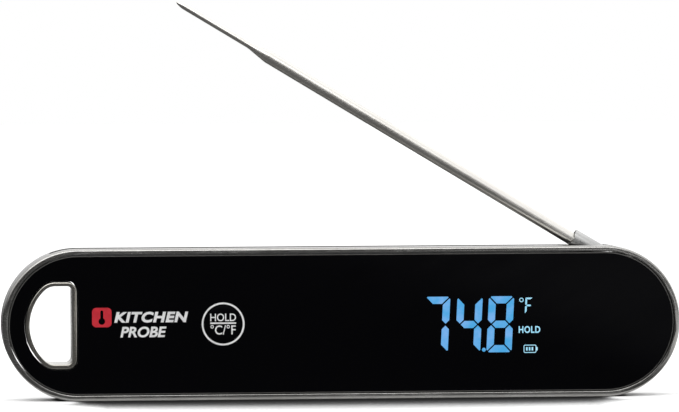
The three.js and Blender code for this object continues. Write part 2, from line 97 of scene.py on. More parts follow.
class NodeSheet:
    """A material's node tree, with short ways to add what the finishes share."""

    def __init__(self, name: str) -> None:
        """Start a material with a shader wired to its output.

        Args:
            name: the material's name.
        """
        self.material = bpy.data.materials.new(name)
        self.material.use_nodes = True
        self.tree = self.material.node_tree
        self.shader = self.tree.nodes["Principled BSDF"]

    def add(self, kind: str, **inputs: object) -> bpy.types.Node:
        """Add a node and set its unlinked inputs.

        Args:
            kind: the node's type name.
            inputs: values, with spaces in socket names written as underscores.

        Returns:
            The new node.
        """
        node = self.tree.nodes.new(kind)
        for key, value in inputs.items():
            node.inputs[key.replace("_", " ")].default_value = value
        return node

    def link(self, source: bpy.types.NodeSocket, target: bpy.types.NodeSocket) -> None:
        """Wire one socket to another."""
        self.tree.links.new(source, target)

    def colour(self, source: bpy.types.NodeSocket) -> None:
        """Wire a colour to the shader."""
        self.link(source, self.shader.inputs["Base Color"])

    def roughness(self, source: bpy.types.NodeSocket) -> None:
        """Wire a roughness to the shader."""
        self.link(source, self.shader.inputs["Roughness"])

    def sum(self, operation: str, *values: bpy.types.NodeSocket | float) -> bpy.types.NodeSocket:
        """Work something out from one to three values.

        Args:
            operation: the sum's name, as the node has it.
            values: sockets or constants.

        Returns:
            The result.
        """
        node = self.add("ShaderNodeMath")
        node.operation = operation
        for held, value in zip(node.inputs, values):
            if isinstance(value, float):
                held.default_value = value
            else:
                self.link(value, held)
        return node.outputs[0]

    def blend(self, kind: str, factor: bpy.types.NodeSocket | float, first: bpy.types.NodeSocket,
              second: bpy.types.NodeSocket) -> bpy.types.NodeSocket:
        """Blend two colours.

        Args:
            kind: how they are blended, as the node has it.
            factor: the second one's share.
            first: the first colour.
            second: the second colour.

        Returns:
            The blend.
        """
        node = self.add("ShaderNodeMix")
        node.data_type = "RGBA"
        node.blend_type = kind
        if isinstance(factor, float):
            node.inputs[0].default_value = factor
        else:
            self.link(factor, node.inputs[0])
        for colour, held in zip((first, second), (held for held in node.inputs if held.type == "RGBA")):
            self.link(colour, held)
        return next(held for held in node.outputs if held.type == "RGBA")

    def split(self) -> dict[str, bpy.types.NodeSocket]:
        """Object coordinates one by one.

        Returns:
            The sockets, by the axis's letter.
        """
        node = self.add("ShaderNodeSeparateXYZ")
        self.link(self.place(PLAIN), node.inputs["Vector"])
        return {axis: node.outputs[axis] for axis in "XYZ"}

    def place(self, stretch: Sequence[float], turn: float = 0.0) -> bpy.types.NodeSocket:
        """Object coordinates, turned about Y and then stretched.

        Args:
            stretch: repeats per metre along each turned axis.
            turn: the angle about Y, in radians.

        Returns:
            The vector socket.
        """
        where = self.add("ShaderNodeTexCoord").outputs["Object"]
        spun = self.add("ShaderNodeMapping", Rotation=(0.0, turn, 0.0))
        sized = self.add("ShaderNodeMapping", Scale=tuple(stretch))
        self.link(where, spun.inputs["Vector"])
        self.link(spun.outputs["Vector"], sized.inputs["Vector"])
        return sized.outputs["Vector"]

    def noise(self, vector: bpy.types.NodeSocket, scale: float, detail: float = 3.0) -> bpy.types.NodeSocket:
        """A noise pattern from 0 to 1.

        Args:
            vector: where the pattern is read.
            scale: how fine it is.
            detail: how many octaves it has.

        Returns:
            The pattern's factor.
        """
        node = self.add("ShaderNodeTexNoise", Scale=scale, Detail=detail)
        self.link(vector, node.inputs["Vector"])
        return node.outputs["Fac"]

    def spread(self, factor: bpy.types.NodeSocket, low: float, high: float, start: float = 0.3,
               end: float = 0.7) -> bpy.types.NodeSocket:
        """Map a factor's span from start to end onto low to high.

        Args:
            factor: the value to map.
            low: what start becomes.
            high: what end becomes.
            start: the factor's low mark.
            end: the factor's high mark.

        Returns:
            The mapped value.
        """
        node = self.add("ShaderNodeMapRange")
        for index, value in enumerate((start, end, low, high), start=1):
            node.inputs[index].default_value = value
        self.link(factor, node.inputs[0])
        return node.outputs[0]

    def shade(self, factor: bpy.types.NodeSocket, stops: Sequence[tuple[float, Sequence[float]]],
              stepped: bool = False) -> bpy.types.NodeSocket:
        """A colour ramp.

        Args:
            factor: the value that picks the colour.
            stops: pairs of a place from 0 to 1 and a colour.
            stepped: True for hard edges between the colours.

        Returns:
            The colour.
        """
        node = self.add("ShaderNodeValToRGB")
        ramp = node.color_ramp
        ramp.interpolation = "CONSTANT" if stepped else "LINEAR"
        while len(ramp.elements) < len(stops):
            ramp.elements.new(1.0)
        for element, (place, colour) in zip(ramp.elements, stops):
            element.position = place
            element.color = (*colour, 1.0)
        self.link(factor, node.inputs["Fac"])
        return node.outputs["Color"]

    def bump(self, height: bpy.types.NodeSocket, strength: float, depth: float) -> None:
        """Give the shader a relief.

        Args:
            height: the relief's height.
            strength: its share, from 0 to 1.
            depth: its depth in metres.
        """
        node = self.add("ShaderNodeBump", Strength=strength, Distance=depth)
        self.link(height, node.inputs["Height"])
        self.link(node.outputs["Normal"], self.shader.inputs["Normal"])

    def shader_value(self, socket: str, value: object) -> None:
        """Set one of the shader's own sockets."""
        self.shader.inputs[socket].default_value = value


@dataclass(frozen=True)
class SatinMetal:
    """Metal with a fine grain, which may be drawn out into streaks."""

    name: str
    light: tuple[float, float, float]
    dark: tuple[float, float, float]
    smooth: float
    rough: float
    grain: tuple[float, float, float]
    turn: float = 0.0
    relief: float = 0.15
    cloud: float = 60.0
    share: float = 0.7
    depth: float = 0.04 * MM

    def make(self) -> bpy.types.Material:
        """Build the material."""
        sheet = NodeSheet(self.name)
        grain = sheet.noise(sheet.place(self.grain, self.turn), 1.0, 4.0)
        clouds = sheet.noise(sheet.place((self.cloud,) * 3), 1.0, 2.0)
        tone = sheet.sum("MULTIPLY_ADD", grain, self.share, sheet.spread(clouds, 0.0, 1.0 - self.share))
        sheet.colour(sheet.shade(tone, ((0.25, self.dark), (0.75, self.light))))
        sheet.roughness(sheet.spread(tone, self.smooth, self.rough))
        sheet.shader_value("Metallic", 1.0)
        sheet.bump(grain, self.relief, self.depth)
        return sheet.material


@dataclass(frozen=True)
class GlossPanel:
    """Polished black glass with faint wipe marks and specks of dust."""

    name: str
    tint: tuple[float, float, float]
    reflect: float
    smooth: float = 0.05
    rough: float = 0.14
    wipe: tuple[float, float, float] = (35.0, 35.0, 160.0)
    wipe_turn: float = 0.5
    speck: float = 2600.0
    speck_span: tuple[float, float] = (0.76, 0.82)
    dust: float = 0.006
    relief: float = 0.02
    depth: float = 0.02 * MM

    def make(self) -> bpy.types.Material:
        """Build the material."""
        sheet = NodeSheet(self.name)
        wipes = sheet.noise(sheet.place(self.wipe, self.wipe_turn), 1.0, 4.0)
        specks = sheet.noise(sheet.place((self.speck,) * 3), 1.0, 1.0)
        dust = sheet.spread(specks, 0.0, 1.0, *self.speck_span)
        dusty = tuple(c + self.dust for c in self.tint)
        sheet.colour(sheet.shade(dust, ((0.0, self.tint), (1.0, dusty))))
        sheet.roughness(sheet.spread(wipes, self.smooth, self.rough))
        sheet.shader_value("Specular IOR Level", self.reflect)
        sheet.bump(wipes, self.relief, self.depth)
        return sheet.material


@dataclass(frozen=True)
class MouldedPlastic:
    """Moulded plastic or rubber with a spark-eroded grain and slight unevenness of colour."""

    name: str
    colour: tuple[float, float, float]
    rough: float
    grain: float = 2600.0
    relief: float = 0.5
    swing: float = 0.18
    cloud: float = 45.0
    rough_swing: float = 0.08
    depth: float = 0.06 * MM

    def make(self) -> bpy.types.Material:
        """Build the material."""
        sheet = NodeSheet(self.name)
        grain = sheet.noise(sheet.place((self.grain,) * 3), 1.0, 3.0)
        clouds = sheet.noise(sheet.place((self.cloud,) * 3), 1.0, 3.0)
        low = tuple(c * (1.0 - self.swing) for c in self.colour)
        high = tuple(min(1.0, c * (1.0 + self.swing)) for c in self.colour)
        sheet.colour(sheet.shade(clouds, ((0.3, low), (0.7, high))))
        sheet.roughness(sheet.spread(grain, self.rough - self.rough_swing, self.rough + self.rough_swing))
        sheet.bump(grain, self.relief, self.depth)
        return sheet.material


@dataclass(frozen=True)
class PrintedInk:
    """Screen-printed ink, a little uneven."""

    name: str
    colour: tuple[float, float, float]
    patch: float = 900.0
    thinnest: float = 0.86
    rough: tuple[float, float] = (0.42, 0.55)

    def make(self) -> bpy.types.Material:
        """Build the material."""
        sheet = NodeSheet(self.name)
        patches = sheet.noise(sheet.place((self.patch,) * 3), 1.0, 3.0)
        thin = tuple(c * self.thinnest for c in self.colour)
        sheet.colour(sheet.shade(patches, ((0.35, thin), (0.6, self.colour))))
        sheet.roughness(sheet.spread(patches, *self.rough))
        return sheet.material


@dataclass(frozen=True)
class LitSegment:
    """A lit display segment whose light is a little uneven."""

    name: str
    cool: tuple[float, float, float]
    warm: tuple[float, float, float]
    strength: float
    cloud: float = 420.0
    unlit: tuple[float, float] = (0.12, 0.16)
    rough: tuple[float, float] = (0.12, 0.2)
    reflect: float = 0.15

    def make(self) -> bpy.types.Material:
        """Build the material."""
        sheet = NodeSheet(self.name)
        clouds = sheet.noise(sheet.place((self.cloud,) * 3), 1.0, 3.0)
        glow = sheet.shade(clouds, ((0.35, self.cool), (0.68, self.warm)))
        sheet.link(glow, sheet.shader.inputs["Emission Color"])
        sheet.shader_value("Emission Strength", self.strength)
        dark = tuple(c * self.unlit[0] for c in self.cool)
        dim = tuple(c * self.unlit[1] for c in self.warm)
        sheet.colour(sheet.shade(clouds, ((0.3, dark), (0.7, dim))))
        sheet.roughness(sheet.spread(clouds, *self.rough))
        sheet.shader_value("Specular IOR Level", self.reflect)
        return sheet.material


@dataclass(frozen=True)
class CircuitBoard:
    """Green solder mask over copper tracks."""

    name: str
    mask: tuple[float, float, float] = (0.012, 0.11, 0.045)
    track: tuple[float, float, float] = (0.03, 0.2, 0.08)
    pitch: float = 420.0
    track_edge: tuple[float, float] = (0.34, 0.4)
    rough: tuple[float, float] = (0.3, 0.45)
    relief: float = 0.3
    depth: float = 0.03 * MM

    def make(self) -> bpy.types.Material:
        """Build the material."""
        sheet = NodeSheet(self.name)
        cells = sheet.add("ShaderNodeTexVoronoi", Scale=1.0)
        cells.distance = "CHEBYCHEV"
        sheet.link(sheet.place((self.pitch,) * 3), cells.inputs["Vector"])
        lines = sheet.spread(cells.outputs["Distance"], 0.0, 1.0, *self.track_edge)
        sheet.colour(sheet.shade(lines, ((0.0, self.track), (1.0, self.mask))))
        sheet.roughness(sheet.spread(lines, *self.rough, 0.0, 1.0))
        sheet.bump(lines, self.relief, self.depth)
        return sheet.material


@dataclass(frozen=True)
class CellJacket:
    """A dry cell's sleeve: a copper-coloured end, a dark sleeve and a bare steel cap."""

    name: str
    left: float
    right: float
    bands: tuple[tuple[float, tuple[float, float, float]], ...] = (
        (0.0, (0.5, 0.5, 0.49)), (0.02, (0.03, 0.032, 0.036)), (0.7, (0.55, 0.27, 0.1)),
        (0.975, (0.6, 0.6, 0.58)))
    scuff: tuple[float, float, float] = (300.0, 1500.0, 1500.0)
    rough: tuple[float, float] = (0.22, 0.38)
    metallic: float = 0.6

    def make(self) -> bpy.types.Material:
        """Build the material."""
        sheet = NodeSheet(self.name)
        along = sheet.spread(sheet.split()["X"], 0.0, 1.0, self.left, self.right)
        sheet.colour(sheet.shade(along, self.bands, stepped=True))
        scuffs = sheet.noise(sheet.place(self.scuff), 1.0, 3.0)
        sheet.roughness(sheet.spread(scuffs, *self.rough))
        sheet.shader_value("Metallic", self.metallic)
        return sheet.material


# ---------------------------------------------------------------- modelling helpers


def only(piece: Solid) -> None:
    """Select one object, and nothing else, and make it active."""
    bpy.ops.object.select_all(action="DESELECT")
    piece.select_set(True)
    bpy.context.view_layer.objects.active = piece


@contextmanager
def editing(piece: Solid) -> Iterator[None]:
    """Hold a piece in edit mode with everything selected.

    Args:
        piece: the piece to edit.
    """
    only(piece)
    bpy.ops.object.mode_set(mode="EDIT")
    bpy.ops.mesh.select_all(action="SELECT")
    yield
    bpy.ops.object.mode_set(mode="OBJECT")


def pick_edges(piece: Solid, test: Test) -> None:
    """Select, in edit mode, the edges whose two ends both pass a test.

    Args:
        piece: the piece in edit mode.
        test: takes an end's place and the other end's place.
    """
    bpy.ops.mesh.select_mode(type="EDGE")
    bpy.ops.mesh.select_all(action="DESELECT")
    mesh = bmesh.from_edit_mesh(piece.data)
    for edge in mesh.edges:
        first, second = edge.verts
        edge.select_set(test(first.co, second.co) and test(second.co, first.co))
    bmesh.update_edit_mesh(piece.data)


def settle(piece: Solid, name: str) -> Solid:
    """Name a piece and put its place, turn and scale into its mesh.

    Args:
        piece: the piece.
        name: its name.

    Returns:
        The piece.
    """
    only(piece)
    bpy.ops.object.transform_apply(location=True, rotation=True, scale=True)
    piece.name = name
    piece.data.name = name
    return piece


@dataclass(frozen=True)
class Rod:
    """A round bar along Y, used as a corner of an outline."""

    x: float
    z: float
    radius: float
    sides: int = MEDIUM

    def add(self, front: float, back: float) -> None:
        """Add the bar, its flats touching the true circle.

        Args:
            front: the lower end along Y.
            back: the upper end along Y.
        """
        half_step = math.pi / self.sides
        bpy.ops.mesh.primitive_cylinder_add(
            vertices=self.sides, radius=self.radius / math.cos(half_step), depth=back - front,
            location=(self.x, (front + back) / 2, self.z), rotation=(math.pi / 2, half_step, 0.0))


def hull(name: str, rods: Sequence[Rod], front: float, back: float) -> Solid:
    """The convex solid around several bars.

    Args:
        name: the solid's name.
        rods: the bars at its corners.
        front: its front along Y.
        back: its back along Y.

    Returns:
        The solid, with its place in its mesh.
    """
    bpy.ops.object.select_all(action="DESELECT")
    rods[0].add(front, back)
    piece = settle(bpy.context.object, name)
    with editing(piece):
        for rod in rods[1:]:
            rod.add(front, back)
        if len(rods) > 1:
            bpy.ops.mesh.select_all(action="SELECT")
            bpy.ops.mesh.convex_hull()
        bpy.ops.mesh.select_all(action="SELECT")
        bpy.ops.mesh.dissolve_limited(angle_limit=FLAT)
        bpy.ops.mesh.select_all(action="SELECT")
        bpy.ops.mesh.normals_make_consistent(inside=False)
    return piece


def box(name: str, low: Sequence[float], high: Sequence[float]) -> Solid:
    """A block between two corners, with its place in its mesh.

    Args:
        name: the block's name.
        low: its lowest corner.
        high: its highest corner.

    Returns:
        The block.
    """
    bpy.ops.object.select_all(action="DESELECT")
    middle = [(a + b) / 2 for a, b in zip(low, high)]
    bpy.ops.mesh.primitive_cube_add(size=1.0, location=middle, scale=[b - a for a, b in zip(low, high)])
    return settle(bpy.context.object, name)


def slice_off(piece: Solid, point: Sequence[float], normal: Sequence[float]) -> None:
    """Cut away what lies past a plane and close the cut.

    Args:
        piece: the piece to cut.
        point: a point on the plane.
        normal: the side that is cut away.
    """
    with editing(piece):
        bpy.ops.mesh.bisect(plane_co=point, plane_no=normal, clear_outer=True, use_fill=True)


def combine(piece: Solid, *others: Solid, operation: str = "DIFFERENCE") -> Solid:
    """Cut others out of a piece, or join them to it, and remove them.

    Args:
        piece: the piece that stays.
        others: the solids that are used up.
        operation: DIFFERENCE or UNION.

    Returns:
        The piece.
    """
    for other in others:
        only(piece)
        modifier = piece.modifiers.new(operation.title(), "BOOLEAN")
        modifier.operation = operation
        modifier.solver = "EXACT"
        modifier.object = other
        bpy.ops.object.modifier_apply(modifier=modifier.name)
        bpy.data.objects.remove(other)
    return piece


def round_edges(piece: Solid, test: Test, width: float, segments: int = 3) -> None:
    """Round the edges whose two ends pass a test.

    Args:
        piece: the piece.
        test: takes an end's place and the other end's place.
        width: the rounding's width.
        segments: how many facets it has.
    """
    with editing(piece):
        pick_edges(piece, test)
        bpy.ops.mesh.bevel(offset=width, segments=segments, affect="EDGES")


def at_y(y: float) -> Test:
    """A test for edges that lie in the plane at y."""
    return lambda place, _: abs(place.y - y) < TOUCH


def turned(name: str, stations: Sequence[tuple[float, float]], place: Matrix, sides: int = MEDIUM) -> Solid:
    """A turned piece: a disc that is extruded and resized from station to station.

    Args:
        name: the piece's name.
        stations: pairs of a radius and a distance along the axis.
        place: turns and moves the axis, which starts along +Z.
        sides: how many sides the piece has.

    Returns:
        The piece, in place.
    """
    bpy.ops.object.select_all(action="DESELECT")
    radius, along = stations[0]
    bpy.ops.mesh.primitive_circle_add(vertices=sides, radius=radius, fill_type="NGON",
                                      location=(0.0, 0.0, along))
    piece = settle(bpy.context.object, name)
    with editing(piece):
        for next_radius, next_along in stations[1:]:
            bpy.ops.mesh.extrude_region_move(TRANSFORM_OT_translate={"value": (0.0, 0.0, next_along - along)})
            share = next_radius / radius
            bpy.ops.transform.resize(value=(share, share, 1.0), center_override=(0.0, 0.0, next_along))
            radius, along = next_radius, next_along
        bpy.ops.mesh.select_all(action="SELECT")
        bpy.ops.mesh.normals_make_consistent(inside=False)
    piece.matrix_world = place
    return settle(piece, name)


def lettering(name: str, words: str, low: Sequence[float], high: Sequence[float], front: float,
              thickness: float, bold: float = 0.0, slant: float = 0.0, spacing: float = 1.0) -> Solid:
    """Words that face the front, fitted between two corners.

    Args:
        name: the piece's name.
        words: what it says.
        low: the lower left corner, in X and Z.
        high: the upper right corner, in X and Z.
        front: the Y of the letters' face.
        thickness: how thick the print is.
        bold: how far the strokes are widened, as a share of the letter size.
        slant: the letters' slant.
        spacing: the letters' spacing, as a share of the usual one.

    Returns:
        The words as a mesh.
    """
    bpy.ops.object.select_all(action="DESELECT")
    bpy.ops.object.text_add(rotation=(math.pi / 2, 0.0, 0.0))
    text = bpy.context.object
    text.data.body = words
    text.data.offset = bold
    text.data.shear = slant
    text.data.space_character = spacing
    text.data.extrude = LETTER_DEPTH
    text.data.resolution_u = LETTER_CURVE
    only(text)
    bpy.ops.object.convert(target="MESH")
    piece = settle(bpy.context.object, name)
    corners = [Vector(c) for c in piece.bound_box]
    start = Vector(map(min, *corners))
    size = Vector(map(max, *corners)) - start
    scale = ((high[0] - low[0]) / size.x, thickness / size.y, (high[1] - low[1]) / size.z)
    piece.scale = scale
    piece.location = (low[0] - start.x * scale[0], front - start.y * scale[1], low[1] - start.z * scale[2])
    return settle(piece, name)


def join(name: str, parts: Sequence[Solid]) -> Solid:
    """Make several objects one piece.

    Args:
        name: the piece's name.
        parts: the objects, of which the first one stays.

    Returns:
        The piece.
    """
    only(parts[0])
    for part in parts:
        part.select_set(True)
    if len(parts) > 1:
        bpy.ops.object.join()
    return settle(bpy.context.object, name)


def hand_over(piece: Solid, body: Body, material: bpy.types.Material, slot: Slot | None, *nodes: str,
              smooth: float = 32.0) -> Solid:
    """Shade, dress and mount a finished piece.

    Args:
        piece: the piece.
        body: what it rides on.
        material: its finish, used where it has none yet.
        slot: the record's slot, or None for printed marks; not used.
        nodes: the CAD nodes that it stands for.
        smooth: edges sharper than this, in degrees, stay crisp.

    Returns:
        The piece.
    """
    only(piece)
    bpy.ops.object.shade_smooth_by_angle(angle=math.radians(smooth))
    if not piece.data.materials:
        piece.data.materials.append(material)
    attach(piece, body.value)
    if nodes:
        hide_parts(*nodes)
    LOG.info("%s: %d faces on %s", piece.name, len(piece.data.polygons), body.value)
    return piece


def remake(piece: Solid) -> None:
    """Replace what is being edited with its convex hull, in clean large faces.

    Args:
        piece: the piece in edit mode.
    """
    bpy.ops.mesh.select_all(action="SELECT")
    bpy.ops.mesh.convex_hull(use_existing_faces=False)
    bpy.ops.mesh.select_all(action="SELECT")
    bpy.ops.mesh.dissolve_limited(angle_limit=FLAT)
    bpy.ops.mesh.select_all(action="SELECT")
    bpy.ops.mesh.normals_make_consistent(inside=False)
    bmesh.update_edit_mesh(piece.data)


def ring(name: str, x: float, z: float, outer: float, inner: float, front: float, back: float) -> Solid:
    """A flat ring that faces the front.

    Args:
        name: the ring's name.
        x: its centre's X.
        z: its centre's Z.
        outer: its outer radius.
        inner: its inner radius.
        front: its front along Y.
        back: its back along Y.

    Returns:
        The ring.
    """
    disc = hull(name, [Rod(x, z, outer, FINE)], front, back)
    return combine(disc, hull("cutter", [Rod(x, z, inner, FINE)], front - MM, back + MM))


def panel(name: str, low: Sequence[float], high: Sequence[float], corner: float, front: float,
          back: float) -> Solid:
    """A panel with rounded corners.

    Args:
        name: the panel's name.
        low: its lowest X and Z.
        high: its highest X and Z.
        corner: the corners' radius.
        front: its front along Y.
        back: its back along Y.

    Returns:
        The panel.
    """
    rods = [Rod(x, z, corner, SMALL) for x in (low[0] + corner, high[0] - corner)
            for z in (low[1] + corner, high[1] - corner)]
    return hull(name, rods, front, back)


def dress(material: bpy.types.Material, *nodes: str) -> None:
    """Give a finish to CAD nodes that stay as they are.

    Args:
        material: the finish.
        nodes: the nodes' names.
    """
    for name in nodes:
        for held in frame["nodes"][name].material_slots:
            held.material = material
        LOG.info("%s: finished as %s", name, material.name)


# ---------------------------------------------------------------- the finishes of this part

PROBE_TILT = math.radians(31.15)

CASE_METAL = SatinMetal("satin case metal", (0.34, 0.335, 0.325), (0.25, 0.245, 0.235), 0.18, 0.28,
                        (400.0, 3000.0, 3000.0))
LINER_METAL = SatinMetal("satin liner metal", (0.42, 0.405, 0.37), (0.36, 0.345, 0.31), 0.16, 0.24,
                         (1500.0, 300.0, 1500.0), 0.0, 0.05)
HUB_METAL = SatinMetal("bead-blasted hub metal", (0.41, 0.41, 0.405), (0.33, 0.33, 0.325), 0.24, 0.36,
                       (2500.0, 2500.0, 2500.0), PROBE_TILT)
PROBE_METAL = SatinMetal("polished probe steel", (0.64, 0.63, 0.6), (0.55, 0.53, 0.5), 0.28, 0.38,
                         (90.0, 4000.0, 4000.0), PROBE_TILT, 0.08)
SCREW_METAL = SatinMetal("turned screw steel", (0.6, 0.6, 0.6), (0.4, 0.4, 0.41), 0.2, 0.35,
                         (3000.0, 300.0, 3000.0))
MAGNET_METAL = SatinMetal("nickel plating", (0.72, 0.7, 0.66), (0.56, 0.54, 0.5), 0.12, 0.28,
                          (1800.0, 1800.0, 1800.0))
SPRING_METAL = SatinMetal("spring steel", (0.6, 0.6, 0.61), (0.42, 0.42, 0.44), 0.22, 0.38,
                          (2200.0, 2200.0, 2200.0))
BRASS = SatinMetal("contact brass", (0.72, 0.55, 0.24), (0.5, 0.37, 0.15), 0.2, 0.36,
                   (2400.0, 2400.0, 2400.0))
BLACK_GLASS = GlossPanel("black front glass", (0.0016, 0.0016, 0.0021), 0.022)
KEY_GLASS = GlossPanel("black key glass", (0.0018, 0.0018, 0.0023), 0.022, 0.08, 0.18)
WINDOW_GLASS = GlossPanel("display window", (0.003, 0.0035, 0.008), 0.4)
GROUND_EDGE = MouldedPlastic("ground glass edge", (0.1, 0.098, 0.094), 0.22, 900.0, 0.1)
INNER_PLASTIC = MouldedPlastic("moulded inner plastic", (0.012, 0.012, 0.013), 0.55)
COVER_PLASTIC = MouldedPlastic("textured cover plastic", (0.018, 0.018, 0.019), 0.5, 3400.0, 0.7)
WHITE_PLASTIC = MouldedPlastic("white moulded plastic", (0.78, 0.78, 0.75), 0.45, 2600.0, 0.3, 0.05)
CHIP_PLASTIC = MouldedPlastic("moulded chip package", (0.016, 0.016, 0.018), 0.42, 5000.0, 0.4)
SILICONE = MouldedPlastic("silicone rubber", (0.035, 0.036, 0.038), 0.72, 1500.0, 0.3)
LEAD_SLEEVE = MouldedPlastic("lead sleeve", (0.32, 0.3, 0.26), 0.6, 3000.0, 0.4)
WHITE_INK = PrintedInk("white printed ink", (0.82, 0.82, 0.82))
RED_INK = PrintedInk("red printed ink", (0.6, 0.014, 0.03))
LIT_BLUE = LitSegment("lit blue segment", (0.065, 0.35, 0.68), (0.17, 0.39, 0.74), 1.0)
LIT_PALE = LitSegment("lit pale mark", (0.3, 0.66, 0.86), (0.42, 0.72, 0.88), 1.0)


# ---------------------------------------------------------------- the casing


@dataclass
class HangingHole:
    """The hanging hole: an arc about the body's end centre, cut off by a straight side."""

    centre_x: float
    middle_z: float
    arc: float = 12.5 * MM
    half_height: float = 10.1 * MM
    side_x: float = -69.45 * MM
    arc_fillet: float = 4.0 * MM
    corner: float = 1.5 * MM

    def solid(self, name: str, grow: float, front: float, back: float) -> Solid:
        """The hole's outline as a solid.

        Args:
            name: the solid's name.
            grow: how far the outline is moved outwards.
            front: the solid's front along Y.
            back: its back along Y.

        Returns:
            The solid.
        """
        arc, fillet, corner = self.arc + grow, self.arc_fillet + grow, self.corner + grow
        half = self.half_height + grow
        fillet_z = half - fillet
        fillet_x = math.sqrt((arc - fillet) ** 2 - fillet_z ** 2)
        touch_x = self.centre_x - fillet_x * arc / (arc - fillet)
        corner_x, corner_z = self.side_x + grow - corner, half - corner
        piece = hull(name, [Rod(self.centre_x, self.middle_z, arc, FINE)], front, back)
        slice_off(piece, (touch_x, 0.0, 0.0), (1.0, 0.0, 0.0))
        with editing(piece):
            for side in (-1.0, 1.0):
                Rod(self.centre_x - fillet_x, self.middle_z + side * fillet_z, fillet).add(front, back)
                Rod(corner_x, self.middle_z + side * corner_z, corner).add(front, back)
            remake(piece)
        return piece


@dataclass
class Casing:
    """The metal band round the body, the hanging hole's liner and what the band holds."""

    low: Vector
    high: Vector
    rim: float = 1.4 * MM
    edge_round: float = 0.6 * MM
    inner_edge: float = 0.12 * MM
    liner: float = 1.05 * MM
    liner_edge: float = 0.3 * MM
    slot_left: float = -63.4 * MM
    slot_front: float = -1.6 * MM
    slot_back: float = 4.0 * MM
    slot_floor: float = 30.2 * MM
    channel_clear: float = 10 * MM
    pocket_radius: float = 4.8 * MM
    ramp: tuple[tuple[float, float], ...] = ((-63.4 * MM, 31.5 * MM), (-75.0 * MM, 38.2 * MM))

    def __post_init__(self) -> None:
        """Work out the outline's centres."""
        self.radius = (self.high.z - self.low.z) / 2
        self.middle_z = (self.high.z + self.low.z) / 2
        self.end_x = self.high.x - self.radius
        self.hole = HangingHole(-self.end_x, self.middle_z)

    def outline(self, name: str, inset: float, front: float, back: float) -> Solid:
        """The body's outline as a solid, moved inwards.

        Args:
            name: the solid's name.
            inset: how far inwards.
            front: the solid's front along Y.
            back: its back along Y.

        Returns:
            The solid.
        """
        rods = [Rod(x, self.middle_z, self.radius - inset, FINE) for x in (-self.end_x, self.end_x)]
        return hull(name, rods, front, back)

    def inset_of(self, place: Vector) -> float:
        """How far a place lies inside the body's outline."""
        nearest = max(-self.end_x, min(self.end_x, place.x))
        return self.radius - math.hypot(place.x - nearest, place.z - self.middle_z)

    def nail_ramp(self) -> Solid:
        """The sloped notch at the closed end of the channel."""
        (deep_x, deep_z), (high_x, high_z) = self.ramp
        piece = box("ramp", (high_x, self.slot_front, deep_z),
                    (deep_x + MM, self.slot_back, self.high.z + MM))
        slice_off(piece, (deep_x, 0.0, deep_z), (high_z - deep_z, 0.0, high_x - deep_x))
        return piece

    def build_band(self, pivot: Vector) -> Solid:
        """The band: a rounded stadium with the probe's channel cut through its top.

        Args:
            pivot: the probe's pivot.

        Returns:
            The band.
        """
        front, back = self.low.y, self.high.y
        band = self.outline("case_band", 0.0, front, back)
        for y in (front, back):
            round_edges(band, at_y(y), self.edge_round, 5)
        combine(band, self.outline("cutter", self.rim, front - MM, back + MM))
        round_edges(band, lambda place, _: abs(self.inset_of(place) - self.rim) < NEARLY
                    and min(abs(place.y - front), abs(place.y - back)) < TOUCH, self.inner_edge, 2)
        channel = box("channel", (self.slot_left, self.slot_front, self.slot_floor),
                      (self.high.x + MM, self.slot_back, self.high.z + self.channel_clear))
        pocket = hull("pocket", [Rod(pivot.x, pivot.z, self.pocket_radius)], self.slot_front, self.slot_back)
        return combine(band, channel, pocket, self.nail_ramp())

    def build_liner(self) -> Solid:
        """The thin metal liner of the hanging hole."""
        front, back = self.low.y, self.high.y
        liner = self.hole.solid("hole_liner", self.liner, front, back)
        for y in (front, back):
            round_edges(liner, at_y(y), self.liner_edge, 4)
        combine(liner, self.hole.solid("cutter", 0.0, front - MM, back + MM))
        inside = self.hole.half_height + 0.5 * self.liner
        round_edges(liner, lambda place, _: min(abs(place.y - front), abs(place.y - back)) < TOUCH
                    and abs(place.z - self.middle_z) < inside
                    and math.hypot(place.x + self.end_x, place.z - self.middle_z) < self.hole.arc + NEARLY
                    and place.x < self.hole.side_x + NEARLY, self.inner_edge, 2)
        return liner

    def build(self, pivot: Vector) -> None:
        """Make the casing's pieces and dress what stays.

        Args:
            pivot: the probe's pivot.
        """
        hand_over(self.build_band(pivot), Body.CASE, CASE_METAL.make(), Slot.FRAME, "case_frame")
        hand_over(self.build_liner(), Body.CASE, LINER_METAL.make(), Slot.BEZEL, "hole_bezel")
        dress(INNER_PLASTIC.make(), "chassis")
        dress(SILICONE.make(), "glass_gasket", "rear_seal", "door_seal", "hub_seal")


